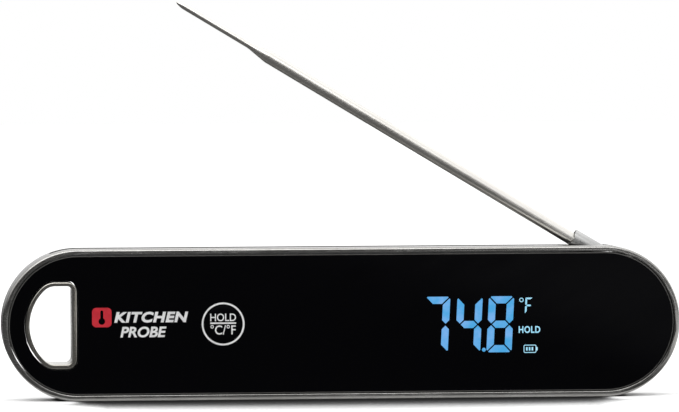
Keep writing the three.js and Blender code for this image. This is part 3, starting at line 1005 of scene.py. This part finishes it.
@dataclass
class FrontGlass:
    """The black glass plate with its ground edge and the touch key in it."""

    casing: Casing
    low: Vector
    high: Vector
    inset: float = 1.6 * MM
    chamfer: float = 0.3 * MM
    hole_grow: float = 1.35 * MM
    hole_chamfer: float = 0.12 * MM
    key: tuple[float, float] = (-30.8 * MM, 19.6 * MM)
    key_hole: float = 5.05 * MM
    facing: float = 0.95
    cap: tuple[tuple[float, float], ...] = (
        (5.7, -6.8), (5.7, -7.0), (4.4, -7.0), (4.4, -7.4), (4.8, -7.4), (4.8, -8.18), (4.76, -8.26),
        (4.68, -8.3), (2.0, -8.29))

    def build_plate(self) -> Solid:
        """The plate, with a lighter ground edge round it."""
        front, back = self.low.y, self.high.y
        plate = self.casing.outline("glass_plate", self.inset, front, back)
        round_edges(plate, at_y(front), self.chamfer, 1)
        round_edges(plate, at_y(back), self.chamfer, 1)
        combine(plate, self.casing.hole.solid("cutter", self.hole_grow, front - MM, back + MM),
                hull("cutter", [Rod(*self.key, self.key_hole, FINE)], front - MM, back + MM))
        plate.data.materials.append(BLACK_GLASS.make())
        plate.data.materials.append(GROUND_EDGE.make())
        for face in plate.data.polygons:
            face.material_index = 0 if abs(face.normal.y) > self.facing else 1
        return plate

    def build_cap(self) -> Solid:
        """The round key that stands level with the glass."""
        stations = [(radius * MM, along * MM) for radius, along in self.cap]
        place = Matrix.Translation((self.key[0], 0.0, self.key[1])) @ Matrix.Rotation(-math.pi / 2, 4, "X")
        return turned("key_cap", stations, place, FINE)

    def build(self) -> None:
        """Make the plate and the key."""
        plate = self.build_plate()
        hand_over(plate, Body.CASE, plate.data.materials[0], Slot.GLASS, "front_glass")
        hand_over(self.build_cap(), Body.KEY, KEY_GLASS.make(), Slot.GLASS, "hold_key")


# ---------------------------------------------------------------- display and print


@dataclass(frozen=True)
class Figure:
    """A seven-segment figure, of which some segments are lit."""

    left: float
    right: float
    lit: str
    bottom: float = 11.7 * MM
    top: float = 26.15 * MM
    stroke: float = 1.85 * MM
    gap: float = 0.25 * MM
    corner: float = 0.7 * MM

    def segment(self, key: str, front: float, back: float) -> Solid:
        """One segment with its mitred ends.

        Args:
            key: the segment's letter, a to g.
            front: its front along Y.
            back: its back along Y.

        Returns:
            The segment.
        """
        left, right, bottom, top, gap = self.left, self.right, self.bottom, self.top, self.gap
        middle, stroke, half = (bottom + top) / 2, self.stroke, self.stroke / 2
        inner_left, inner_right = left + half, right - half
        below, above = ((-1, 1), (1, 1)), ((-1, -1), (1, -1))
        plans = {
            "a": ((left, top - stroke, right, top), ((left + gap, top, -1, -1), (right - gap, top, 1, -1))),
            "b": ((right - stroke, middle, right, top),
                  ((right, top - gap, -1, 1), *((inner_right, middle + gap, *way) for way in above))),
            "c": ((right - stroke, bottom, right, middle),
                  ((right, bottom + gap, -1, -1), *((inner_right, middle - gap, *way) for way in below))),
            "d": ((left, bottom, right, bottom + stroke),
                  ((left + gap, bottom, -1, 1), (right - gap, bottom, 1, 1))),
            "e": ((left, bottom, left + stroke, middle),
                  ((left, bottom + gap, 1, -1), *((inner_left, middle - gap, *way) for way in below))),
            "f": ((left, middle, left + stroke, top),
                  ((left, top - gap, 1, 1), *((inner_left, middle + gap, *way) for way in above))),
            "g": ((left, middle - half, right, middle + half),
                  ((inner_left + gap, middle, -1, 1), (inner_left + gap, middle, -1, -1),
                   (inner_right - gap, middle, 1, 1), (inner_right - gap, middle, 1, -1))),
        }
        (x0, z0, x1, z1), cuts = plans[key]
        corner = self.corner
        blunt = [(x + shift_x * corner, z, -shift_x, shift_z) for x, shift_x in ((left, 1), (right, -1))
                 for z, shift_z in ((bottom, -1), (top, 1))]
        piece = box("segment", (x0, front, z0), (x1, back, z1))
        for x, z, toward_x, toward_z in (*cuts, *blunt):
            slice_off(piece, (x, 0.0, z), (toward_x, 0.0, toward_z))
        return piece

    def lit_segments(self, front: float, back: float) -> list[Solid]:
        """The lit segments.

        Args:
            front: their front along Y.
            back: their back along Y.

        Returns:
            The segments as separate solids.
        """
        return [self.segment(key, front, back) for key in self.lit]


@dataclass
class Display:
    """The lit reading, its unit, the hold mark and the cell sign."""

    face: float
    thickness: float = 0.02 * MM
    slant: float = math.tan(math.radians(3.0))
    figures: tuple[Figure, ...] = (
        Figure(20.95 * MM, 27.5 * MM, "abc"),
        Figure(29.35 * MM, 35.9 * MM, "bcfg"),
        Figure(37.5 * MM, 44.05 * MM, "abcdefg"),
    )
    point: tuple[float, float, float] = (36.49 * MM, 12.39 * MM, 0.5 * MM)
    unit: Figure = Figure(47.25 * MM, 49.1 * MM, "aefg", 21.7 * MM, 25.75 * MM, 0.45 * MM, 0.09 * MM,
                          0.12 * MM)
    degree: tuple[float, float, float, float] = (46.3 * MM, 25.15 * MM, 0.57 * MM, 0.36 * MM)
    hold: tuple[float, float, float, float] = (45.55 * MM, 16.6 * MM, 51.15 * MM, 18.4 * MM)
    cell: tuple[float, float, float, float] = (46.81 * MM, 11.48 * MM, 50.43 * MM, 13.57 * MM)
    cell_nub: float = 0.3 * MM
    cell_line: float = 0.2 * MM
    cell_corner: float = 0.42 * MM
    bars: int = 3
    bar_inset: float = 0.6 * MM
    bar_start: float = 0.62 * MM
    bar_step: float = 0.72 * MM
    bar_width: float = 0.42 * MM

    def lean(self, piece: Solid, bottom: float, top: float) -> Solid:
        """Slant a piece about the middle of its height.

        Args:
            piece: the piece.
            bottom: its lower edge.
            top: its upper edge.

        Returns:
            The piece.
        """
        matrix = Matrix.Identity(4)
        matrix[0][2] = self.slant
        matrix[0][3] = -self.slant * (bottom + top) / 2
        piece.data.transform(matrix)
        return piece

    def build_reading(self) -> Solid:
        """The three large figures and the decimal point."""
        front, back = self.face - self.thickness, self.face
        parts = [part for figure in self.figures for part in figure.lit_segments(front, back)]
        reading = self.lean(join("display_reading", parts), self.figures[0].bottom, self.figures[0].top)
        return join("display_reading", [reading, hull("point", [Rod(*self.point)], front, back)])

    def build_cell_sign(self) -> list[Solid]:
        """The outline of a cell with its three bars."""
        front, back = self.face - self.thickness, self.face
        left, bottom, right, top = self.cell
        nub, line, corner, inset = self.cell_nub, self.cell_line, self.cell_corner, self.bar_inset
        outline = panel("cell", (left, bottom), (right - nub, top), corner, front, back)
        combine(outline, panel("cutter", (left + line, bottom + line), (right - nub - line, top - line),
                               corner - line, front - MM, back + MM))
        low, high = bottom + inset, top - inset
        parts = [outline, box("nub", (right - nub, front, low), (right, back, high))]
        for index in range(self.bars):
            start = left + self.bar_start + index * self.bar_step
            parts.append(box("bar", (start, front, low), (start + self.bar_width, back, high)))
        return parts

    def build_marks(self) -> Solid:
        """The unit, the hold word and the cell sign."""
        front, back = self.face - self.thickness, self.face
        unit = self.lean(join("unit", self.unit.lit_segments(front, back)), self.unit.bottom, self.unit.top)
        x, z, outer, inner = self.degree
        word = lettering("word", "HOLD", self.hold[:2], self.hold[2:], front, self.thickness, 0.028,
                         spacing=1.12)
        return join("display_marks", [unit, ring("degree", x, z, outer, inner, front, back), word,
                                      *self.build_cell_sign()])

    def build(self) -> None:
        """Make the lit pieces and dress the panel behind the glass."""
        hand_over(self.build_reading(), Body.CASE, LIT_BLUE.make(), Slot.DISPLAY)
        hand_over(self.build_marks(), Body.CASE, LIT_PALE.make(), Slot.DISPLAY)
        dress(WINDOW_GLASS.make(), "display_panel")
        dress(WHITE_PLASTIC.make(), "display_backlight", "display_holder")


@dataclass
class Print:
    """What is printed on the glass and on the key."""

    face: float
    thickness: float = 0.02 * MM
    ring: tuple[float, float, float, float] = (-30.83 * MM, 19.6 * MM, 5.52 * MM, 5.06 * MM)
    hold: tuple[float, float, float, float] = (-34.14 * MM, 20.29 * MM, -27.5 * MM, 22.29 * MM)
    rule: tuple[float, float, float, float] = (-34.18 * MM, 19.6 * MM, -27.48 * MM, 20.0 * MM)
    units: tuple[float, float, float, float] = (-34.09 * MM, 16.86 * MM, -27.59 * MM, 19.36 * MM)
    upper: tuple[float, float, float, float] = (-58.83 * MM, 20.1 * MM, -39.8 * MM, 22.9 * MM)
    lower: tuple[float, float, float, float] = (-57.27 * MM, 16.3 * MM, -45.4 * MM, 19.1 * MM)
    badge: tuple[float, float, float, float] = (-64.5 * MM, 19.0 * MM, -59.5 * MM, 24.0 * MM)
    badge_corner: float = 1.1 * MM
    bulb: tuple[float, float] = (1.5 * MM, 0.85 * MM)
    stem: tuple[float, float, float] = (0.38 * MM, 1.6 * MM, 0.7 * MM)
    stem_corner: float = 0.37 * MM
    rule_corner: float = 0.06 * MM
    slant: float = 0.2

    def build_badge(self) -> Solid:
        """A red badge with a thermometer cut out of it."""
        front, back = self.face - self.thickness, self.face
        left, bottom, right, top = self.badge
        middle = (left + right) / 2
        badge = panel("front_badge", (left, bottom), (right, top), self.badge_corner, front, back)
        rise, radius = self.bulb
        half, low, high = self.stem
        bulb = hull("bulb", [Rod(middle, bottom + rise, radius)], front - MM, back + MM)
        stem = panel("stem", (middle - half, bottom + low), (middle + half, top - high), self.stem_corner,
                     front - MM, back + MM)
        return combine(badge, bulb, stem)

    def build(self) -> None:
        """Make every printed mark."""
        front, back = self.face - self.thickness, self.face
        x, z, outer, inner = self.ring
        white = WHITE_INK.make()
        around = ring("key_ring", x, z, outer, inner, front, back)
        words = join("front_words", [
            lettering("upper", "KITCHEN", self.upper[:2], self.upper[2:], front, self.thickness, 0.045,
                      self.slant, 1.1),
            lettering("lower", "PROBE", self.lower[:2], self.lower[2:], front, self.thickness, 0.03,
                      self.slant)])
        left, bottom, right, top = self.rule
        legend = join("key_legend", [
            lettering("hold", "HOLD", self.hold[:2], self.hold[2:], front, self.thickness, 0.01),
            lettering("units", "°C/°F", self.units[:2], self.units[2:], front, self.thickness, 0.008),
            panel("rule", (left, bottom), (right, top), self.rule_corner, front, back)])
        hand_over(around, Body.CASE, white, None)
        hand_over(words, Body.CASE, white, None)
        hand_over(legend, Body.KEY, white, None)
        hand_over(self.build_badge(), Body.CASE, RED_INK.make(), None)


# ---------------------------------------------------------------- the back


@dataclass
class Fastener:
    """A pan-head screw with a cross recess, driven from the back."""

    outer: float
    tip: float
    head: float = 2.3 * MM
    shank: float = 1.0 * MM
    depth: float = 0.6 * MM
    recess: float = 0.35 * MM
    point: float = 0.6 * MM
    edge: float = 0.08 * MM
    crown: tuple[tuple[float, float], ...] = ((0.0, 0.3 * MM), (0.18 * MM, 0.08 * MM), (0.6 * MM, 0.0))
    cross: tuple[float, float] = (1.3 * MM, 0.24 * MM)

    def build(self, name: str) -> Solid:
        """The screw on the Y axis.

        Args:
            name: the screw's name.

        Returns:
            The screw.
        """
        seat = self.outer - self.depth
        stations = [(self.shank * 0.5, self.tip), (self.shank, self.tip + self.point), (self.shank, seat),
                    (self.head - self.edge, seat), (self.head, seat + self.edge),
                    *((self.head - inset, self.outer - drop) for inset, drop in self.crown)]
        screw = turned(name, stations, Matrix.Rotation(-math.pi / 2, 4, "X"), SMALL)
        wide, thin = self.cross
        deep = self.outer - self.recess
        return combine(screw, box("cutter", (-wide, deep, -thin), (wide, self.outer + MM, thin)),
                       box("cutter", (-thin, deep, -wide), (thin, self.outer + MM, wide)))


@dataclass
class Back:
    """The rear cover, its magnets, the cell door and the screws."""

    casing: Casing
    cover: tuple[Vector, Vector]
    door: tuple[Vector, Vector]
    inset: float = 1.6 * MM
    chamfer: float = 0.3 * MM
    gap: float = 0.3 * MM
    plate: float = 1.4 * MM
    door_corner: float = 3.0 * MM
    shank_hole: float = 1.3 * MM
    head_hole: float = 2.6 * MM
    head_depth: float = 0.9 * MM
    boss_wall: float = 1.3 * MM
    boss_overlap: float = 0.5 * MM
    pocket_floor: float = 0.6 * MM
    hole_grow: float = 1.35 * MM
    magnet_edge: float = 0.25 * MM
    grips: int = 6
    grip_start: float = 4.0 * MM
    grip_pitch: float = 1.7 * MM
    grip_width: float = 0.8 * MM
    grip_reach: float = 4.5 * MM
    grip_corner: float = 0.39 * MM
    grip_depth: float = 0.3 * MM
    minus_from_left: float = 20.0 * MM
    plus_from_right: float = 12.0 * MM
    sign_reach: float = 1.5 * MM
    sign_half: float = 0.25 * MM
    sign_corner: float = 0.2 * MM
    sign_depth: float = 0.25 * MM

    def __post_init__(self) -> None:
        """Find the screws and magnets of the frame."""
        self.back = self.cover[1].y
        self.front = self.back - self.plate
        self.screws = [self.middle(f"case_screw_{i}") for i in range(1, 5)]
        self.door_screw = self.middle("door_screw")
        self.magnets = [self.middle(f"magnet_{i}") for i in (1, 2)]
        self.magnet_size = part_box("magnet_1")

    @staticmethod
    def middle(node: str) -> tuple[float, float]:
        """A CAD node's middle in X and Z."""
        low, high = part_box(node)
        return (low.x + high.x) / 2, (low.z + high.z) / 2

    def screw_hole(self, piece: Solid, x: float, z: float) -> None:
        """Cut a screw's hole and the seat of its head.

        Args:
            piece: the piece to cut.
            x: the hole's X.
            z: the hole's Z.
        """
        combine(piece, hull("cutter", [Rod(x, z, self.shank_hole, SMALL)], 0.0, self.back + MM),
                hull("cutter", [Rod(x, z, self.head_hole)], self.back - self.head_depth, self.back + MM))

    def build_cover(self) -> Solid:
        """The cover plate with its magnet pockets, doorway and screw seats."""
        plate = self.casing.outline("back_cover", self.inset, self.front, self.back)
        round_edges(plate, at_y(self.back), self.chamfer, 3)
        radius = (self.magnet_size[1].x - self.magnet_size[0].x) / 2
        floor = self.cover[0].y
        for x, z in self.magnets:
            boss = hull("boss", [Rod(x, z, radius + self.boss_wall)], floor, self.front + self.boss_overlap)
            combine(plate, boss, operation="UNION")
        for x, z in self.magnets:
            combine(plate, hull("cutter", [Rod(x, z, radius + self.gap)], floor + self.pocket_floor,
                                self.back + MM))
        for x, z in self.screws:
            self.screw_hole(plate, x, z)
        low, high = self.door
        gap = self.gap
        doorway = panel("cutter", (low.x - gap, low.z - gap), (high.x + gap, high.z + gap),
                        self.door_corner + gap, 0.0, self.back + MM)
        combine(plate, doorway, self.casing.hole.solid("cutter", self.hole_grow, 0.0, self.back + MM))
        return plate

    def build_door(self) -> Solid:
        """The cell door with its grip grooves and a plus and minus sign."""
        low, high = self.door
        door = panel("cell_door", (low.x, low.z), (high.x, high.z), self.door_corner, self.front, self.back)
        round_edges(door, at_y(self.back), self.chamfer, 3)
        self.screw_hole(door, *self.door_screw)
        middle = (low.z + high.z) / 2
        reach, half = self.grip_reach, self.sign_half
        for index in range(self.grips):
            x = low.x + self.grip_start + index * self.grip_pitch
            combine(door, panel("cutter", (x, middle - reach), (x + self.grip_width, middle + reach),
                                self.grip_corner, self.back - self.grip_depth, self.back + MM))
        minus, plus = low.x + self.minus_from_left, high.x - self.plus_from_right
        for x, wide, tall in ((minus, self.sign_reach, half), (plus, self.sign_reach, half),
                              (plus, half, self.sign_reach)):
            combine(door, panel("cutter", (x - wide, middle - tall), (x + wide, middle + tall),
                                self.sign_corner, self.back - self.sign_depth, self.back + MM))
        return door

    def build_magnet(self, name: str, node: str) -> Solid:
        """A plated disc magnet with a broken edge.

        Args:
            name: the piece's name.
            node: the CAD node that it stands for.

        Returns:
            The magnet.
        """
        low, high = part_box(node)
        x, z = self.middle(node)
        disc = hull(name, [Rod(x, z, (high.x - low.x) / 2)], low.y, high.y)
        round_edges(disc, at_y(high.y), self.magnet_edge, 3)
        return disc

    def build(self) -> None:
        """Make the back's pieces."""
        cover_finish, magnet_finish = COVER_PLASTIC.make(), MAGNET_METAL.make()
        screw_finish = SCREW_METAL.make()
        hand_over(self.build_cover(), Body.CASE, cover_finish, Slot.COVER, "rear_cover")
        hand_over(self.build_door(), Body.DOOR, cover_finish, Slot.COVER, "battery_door")
        for index in (1, 2):
            node = f"magnet_{index}"
            hand_over(self.build_magnet(f"holding_{node}", node), Body.CASE, magnet_finish, Slot.MAGNET, node)
        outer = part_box("case_screw_1")[1].y
        model = Fastener(outer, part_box("case_screw_1")[0].y).build("screw_model")
        places = [(f"case_screw_{i + 1}", x, z, Body.CASE) for i, (x, z) in enumerate(self.screws)]
        places.append(("door_screw", *self.door_screw, Body.DOOR))
        for node, x, z, body in places:
            copy = model.copy()
            copy.data = model.data.copy()
            bpy.context.collection.objects.link(copy)
            copy.location = (x, 0.0, z)
            hand_over(settle(copy, f"driven_{node}"), body, screw_finish, Slot.SCREW, node)
        bpy.data.objects.remove(model)


# ---------------------------------------------------------------- the probe


@dataclass
class Probe:
    """The folding probe: its hub and arm, and the steel shaft."""

    pivot: Vector
    tilt: float = PROBE_TILT
    disc: float = 4.2 * MM
    width: float = 4.0 * MM
    pin_bore: float = 1.8 * MM
    sensor_bore: tuple[float, float] = (2.7 * MM, 1.0 * MM)
    sensor_depth: float = 1.2 * MM
    edge: float = 0.25 * MM
    squash: float = 0.83
    arm: tuple[tuple[float, float], ...] = (
        (2.2, 0.0), (2.2, 3.5), (2.35, 4.0), (2.75, 4.5), (2.89, 5.0), (2.75, 13.8), (2.72, 13.88),
        (2.62, 13.95))
    dish: tuple[tuple[float, float], ...] = (
        (1.85, 8.0), (1.85, 12.7), (2.25, 13.3), (2.45, 14.0), (2.45, 14.6))
    leadway: tuple[tuple[float, float], ...] = ((0.9, 1.5), (0.9, 8.3))
    shaft: tuple[tuple[float, float], ...] = (
        (1.55, 8.3), (1.65, 8.4), (1.65, 105.7), (1.6, 106.3), (0.82, 111.0), (0.75, 111.7), (0.75, 131.25),
        (0.6, 132.15), (0.35, 133.0), (0.1, 133.35))
    bore: tuple[tuple[float, float], ...] = ((1.25, 8.0), (1.25, 105.5), (0.45, 111.4), (0.45, 130.35))

    def axis(self) -> Matrix:
        """The frame whose Z runs along the open probe."""
        return Matrix.Translation(self.pivot) @ Matrix.Rotation(self.tilt - math.pi / 2, 4, "Y")

    def turn(self, name: str, stations: Sequence[tuple[float, float]], sides: int = MEDIUM,
             squash: float = 1.0) -> Solid:
        """A turned piece on the probe's axis.

        Args:
            name: the piece's name.
            stations: pairs of a radius and a distance from the pivot, in millimetres.
            sides: how many sides it has.
            squash: its width across the body as a share of its height.

        Returns:
            The piece.
        """
        place = self.axis() @ Matrix.Diagonal((1.0, squash, 1.0, 1.0))
        return turned(name, [(radius * MM, along * MM) for radius, along in stations], place, sides)

    def build_hub(self) -> Solid:
        """The disc on the pivot pin and the arm that holds the shaft."""
        front, back = self.pivot.y - self.width / 2, self.pivot.y + self.width / 2
        hub = hull("probe_arm", [Rod(self.pivot.x, self.pivot.z, self.disc, FINE)], front, back)
        for y in (front, back):
            round_edges(hub, at_y(y), self.edge, 3)
        combine(hub, self.turn("arm", self.arm, FINE, self.squash), operation="UNION")
        offset, radius = self.sensor_bore
        place = self.pivot + Matrix.Rotation(self.tilt, 3, "Y") @ Vector((offset, 0.0, 0.0))
        return combine(
            hub, self.turn("cutter", self.dish), self.turn("cutter", self.leadway, SMALL),
            hull("cutter", [Rod(self.pivot.x, self.pivot.z, self.pin_bore)], front - MM, back + MM),
            hull("cutter", [Rod(place.x, place.z, radius, SMALL)], front - MM, front + self.sensor_depth))

    def build_shaft(self) -> Solid:
        """The hollow steel shaft with its thin measuring tip."""
        return combine(self.turn("probe_shaft", self.shaft), self.turn("cutter", self.bore, SMALL))

    def build(self) -> None:
        """Make the probe and dress what turns with it."""
        hand_over(self.build_hub(), Body.PROBE, HUB_METAL.make(), Slot.HUB, "probe_hub")
        hand_over(self.build_shaft(), Body.PROBE, PROBE_METAL.make(), Slot.PROBE, "probe_tube")
        dress(LEAD_SLEEVE.make(), "sensor_leads")
        dress(CHIP_PLASTIC.make(), "sensor_bead")
        dress(MAGNET_METAL.make(), "wake_magnet")


def dress_inside() -> None:
    """Finish the electronics and contacts, which stay as the frame has them."""
    dress(CircuitBoard("green circuit board").make(), "main_board", "wake_board")
    dress(CHIP_PLASTIC.make(), "controller_chip", "tilt_sensor", "wake_sensor")
    dress(BRASS.make(), "piezo_buzzer", "display_ribbon")
    dress(SPRING_METAL.make(), "key_dome", "battery_spring", "spring_plate", "button_plate", "wave_washer")
    dress(SCREW_METAL.make(), "pivot_pin")
    low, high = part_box("battery_cell")
    dress(CellJacket("cell jacket", low.x, high.x).make(), "battery_cell")


# ---------------------------------------------------------------- the studio


@dataclass(frozen=True)
class Softbox:
    """A soft rectangular lamp: where it hangs, what it faces, its size and its power in watts."""

    name: str
    place: tuple[float, float, float]
    aim: tuple[float, float, float]
    size: tuple[float, float]
    power: float

    def build(self) -> None:
        """Hang the lamp."""
        data = bpy.data.lights.new(self.name, "AREA")
        data.shape = "RECTANGLE"
        data.size, data.size_y = self.size
        data.energy = self.power
        lamp = bpy.data.objects.new(self.name, data)
        direction = Vector(self.aim) - Vector(self.place)
        turn = direction.to_track_quat("-Z", "Y").to_matrix().to_4x4()
        lamp.matrix_world = Matrix.Translation(self.place) @ turn
        bpy.context.scene.collection.objects.link(lamp)


@dataclass
class Studio:
    """A pale floor, a dome of light that is dimmer on one side, two softboxes and the camera.

    The floor's colour holds painted light: for the camera, a painted shadow near the part that is lifted
    past its two ends; for all other rays, painted dark stretches and a painted bright strip, which the
    part's metal mirrors as painted reflections. Both are placed for this camera.
    """

    azimuth: float = math.radians(-4.713)
    elevation: float = math.radians(2.530)
    roll: float = math.radians(-0.272)
    distance: float = 1.5816
    stood_at: tuple[float, float, float] = (0.0, 0.0, 0.0195)
    aimed_at: tuple[float, float, float] = (0.0, 0.0, 0.0495)
    lens: float = 324.06
    sensor: float = 36.0
    floor_size: float = 12.0
    floor_cloud: float = 3.0
    floor_tones: tuple[float, float] = (0.86, 0.9)
    floor_rough: float = 0.9
    dome: float = 1.45
    rise: tuple[float, float] = (0.15, 0.5)
    horizon: tuple[float, float] = (0.04, 1.7)
    lit_side: tuple[float, float, float] = (0.85, 0.53, 0.0)
    side_span: tuple[float, float] = (0.1, 0.9)
    # Painted shade for all rays but the camera's: a painted bright strip along the part, dark past it.
    painted_dark_share: float = 0.1
    painted_bright_strip: tuple[float, float] = (0.0125, 0.0108)
    far_back: tuple[float, float] = (0.2, 0.4)
    left_side: tuple[float, float] = (-0.105, -0.088)
    right_side: tuple[float, float] = (0.09, 0.13)
    # Painted shadow for the camera: occlusion near the part, mapped into the floor's colour.
    shade_reach: float = 0.3
    shade_samples: int = 16
    shade: tuple[tuple[float, float], ...] = (
        (0.0, 0.012), (0.58, 0.022), (0.65, 0.042), (0.71, 0.07), (0.76, 0.13), (0.8, 0.26), (0.84, 0.48),
        (0.88, 0.78), (0.92, 1.0))
    shade_end: tuple[float, float] = (0.062, 0.1)
    shade_lift: float = 0.5
    tail_end: tuple[float, float] = (0.066, 0.08)
    tail_depth: tuple[float, float] = (-0.022, -0.012)
    lamps: tuple[Softbox, ...] = (
        Softbox("top softbox", (0.0, 0.5, 1.6), (0.0, 0.0, 0.0), (2.4, 1.2), 5.0),
        Softbox("front softbox", (-0.3, -1.1, 1.15), (0.0, 0.0, 0.02), (1.6, 0.6), 11.0),
    )

    def build_camera(self) -> None:
        """Place the camera and make it the scene's."""
        flat, up = math.cos(self.elevation), math.sin(self.elevation)
        away = Vector((math.sin(self.azimuth) * flat, -math.cos(self.azimuth) * flat, up))
        place = Vector(self.stood_at) + away * self.distance
        aim = (Vector(self.aimed_at) - place).normalized()
        turn = aim.to_track_quat("-Z", "Y").to_matrix().to_4x4() @ Matrix.Rotation(self.roll, 4, "Z")
        data = bpy.data.cameras.new("camera")
        data.lens = self.lens
        data.sensor_width = self.sensor
        camera = bpy.data.objects.new("camera", data)
        camera.matrix_world = Matrix.Translation(place) @ turn
        bpy.context.scene.collection.objects.link(camera)
        bpy.context.scene.camera = camera

    def painted_camera_shadow(self, sheet: NodeSheet) -> bpy.types.NodeSocket:
        """The floor's painted shadow for the camera, as a share of its colour.

        Args:
            sheet: the floor's node tree.

        Returns:
            The share, a painted shadow: dark where the part is near and lifted past its ends.
        """
        where = sheet.split()
        along = sheet.sum("ABSOLUTE", where["X"])
        near = sheet.add("ShaderNodeAmbientOcclusion", Distance=self.shade_reach)
        near.samples = self.shade_samples
        past_end = sheet.sum("MULTIPLY", sheet.spread(along, 0.0, 1.0, *self.tail_end),
                             sheet.spread(where["Y"], 0.0, 1.0, *self.tail_depth))
        lift = sheet.sum("ADD", sheet.spread(along, 0.0, self.shade_lift, *self.shade_end), past_end)
        lighter = sheet.sum("ADD", near.outputs["AO"], lift)
        return sheet.shade(lighter, [(place, (share,) * 3) for place, share in self.shade])

    def painted_mirror_shade(self, sheet: NodeSheet) -> bpy.types.NodeSocket:
        """The floor's painted shade for all rays but the camera's, as a share of its colour.

        Args:
            sheet: the floor's node tree.

        Returns:
            The share, painted shade for the metal to mirror: dark close to the part and behind
            it on the left.
        """
        where = sheet.split()
        share = sheet.spread(sheet.sum("ABSOLUTE", where["Y"]), self.painted_dark_share, 1.0, *self.painted_bright_strip)
        for axis, span, kind in (("Y", self.far_back, "MAXIMUM"), ("X", self.left_side, "MINIMUM"),
                                 ("X", self.right_side, "MAXIMUM")):
            share = sheet.sum(kind, share, sheet.spread(where[axis], self.painted_dark_share, 1.0, *span))
        return share

    def build_floor(self) -> None:
        """A wide pale floor with a painted shadow for the camera and painted shade for other rays."""
        bpy.ops.object.select_all(action="DESELECT")
        bpy.ops.mesh.primitive_plane_add(size=self.floor_size)
        floor = settle(bpy.context.object, "studio_floor")
        sheet = NodeSheet("pale floor")
        clouds = sheet.noise(sheet.place((self.floor_cloud,) * 3), 1.0, 2.0)
        low, high = self.floor_tones
        tone = sheet.shade(clouds, ((0.3, (low,) * 3), (0.7, (high,) * 3)))
        seen = sheet.add("ShaderNodeLightPath").outputs["Is Camera Ray"]
        # Camera rays see the painted shadow, all other rays the painted dark stretches and bright strip.
        share = sheet.blend("MIX", seen, self.painted_mirror_shade(sheet), self.painted_camera_shadow(sheet))
        sheet.colour(sheet.blend("MULTIPLY", 1.0, tone, share))
        sheet.shader_value("Roughness", self.floor_rough)
        sheet.shader_value("Specular IOR Level", 0.0)
        floor.data.materials.append(sheet.material)

    def build_sky(self) -> None:
        """Light from a pale dome over a dim horizon, which is plain white to the camera."""
        world = bpy.data.worlds.new("studio")
        bpy.context.scene.world = world
        world.use_nodes = True
        tree = world.node_tree
        tree.nodes.clear()
        new, link = tree.nodes.new, tree.links.new
        where, path, side = new("ShaderNodeTexCoord"), new("ShaderNodeLightPath"), new("ShaderNodeVectorMath")
        split, edge, rise = new("ShaderNodeSeparateXYZ"), new("ShaderNodeMapRange"), new("ShaderNodeMapRange")
        soft, plain = new("ShaderNodeBackground"), new("ShaderNodeBackground")
        mix, out = new("ShaderNodeMixShader"), new("ShaderNodeOutputWorld")
        side.operation = "DOT_PRODUCT"
        side.inputs[1].default_value = self.lit_side
        for ramp, values in ((edge, (*self.side_span, *self.horizon)), (rise, (*self.rise, 0.0, self.dome))):
            ramp.interpolation_type = "SMOOTHSTEP"
            for index, value in enumerate(values, start=1):
                ramp.inputs[index].default_value = value
        link(where.outputs["Generated"], side.inputs[0])
        link(where.outputs["Generated"], split.inputs[0])
        link(side.outputs["Value"], edge.inputs[0])
        link(split.outputs["Z"], rise.inputs[0])
        link(edge.outputs[0], rise.inputs[3])
        link(rise.outputs[0], soft.inputs["Strength"])
        link(path.outputs["Is Camera Ray"], mix.inputs[0])
        link(soft.outputs[0], mix.inputs[1])
        link(plain.outputs[0], mix.inputs[2])
        link(mix.outputs[0], out.inputs["Surface"])
        for node in (soft, plain):
            node.inputs["Color"].default_value = (*PLAIN, 1.0)

    def build(self) -> None:
        """Make the studio."""
        bpy.context.scene.view_settings.view_transform = "Standard"
        self.build_camera()
        self.build_floor()
        self.build_sky()
        for lamp in self.lamps:
            lamp.build()


def main() -> None:
    """Build every sub-assembly around the frame, then the studio."""
    logging.basicConfig(level=logging.INFO, format="%(message)s")
    pivot = Vector(next(joint["pos_m"] for joint in frame["joints"] if joint["name"] == "probe_fold"))
    casing = Casing(*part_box("case_frame"))
    casing.build(pivot)
    glass_low, glass_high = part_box("front_glass")
    FrontGlass(casing, glass_low, glass_high).build()
    Display(glass_low.y).build()
    Print(glass_low.y).build()
    Back(casing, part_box("rear_cover"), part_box("battery_door")).build()
    Probe(pivot).build()
    dress_inside()
    Studio().build()


if __name__ == "__main__":
    main()
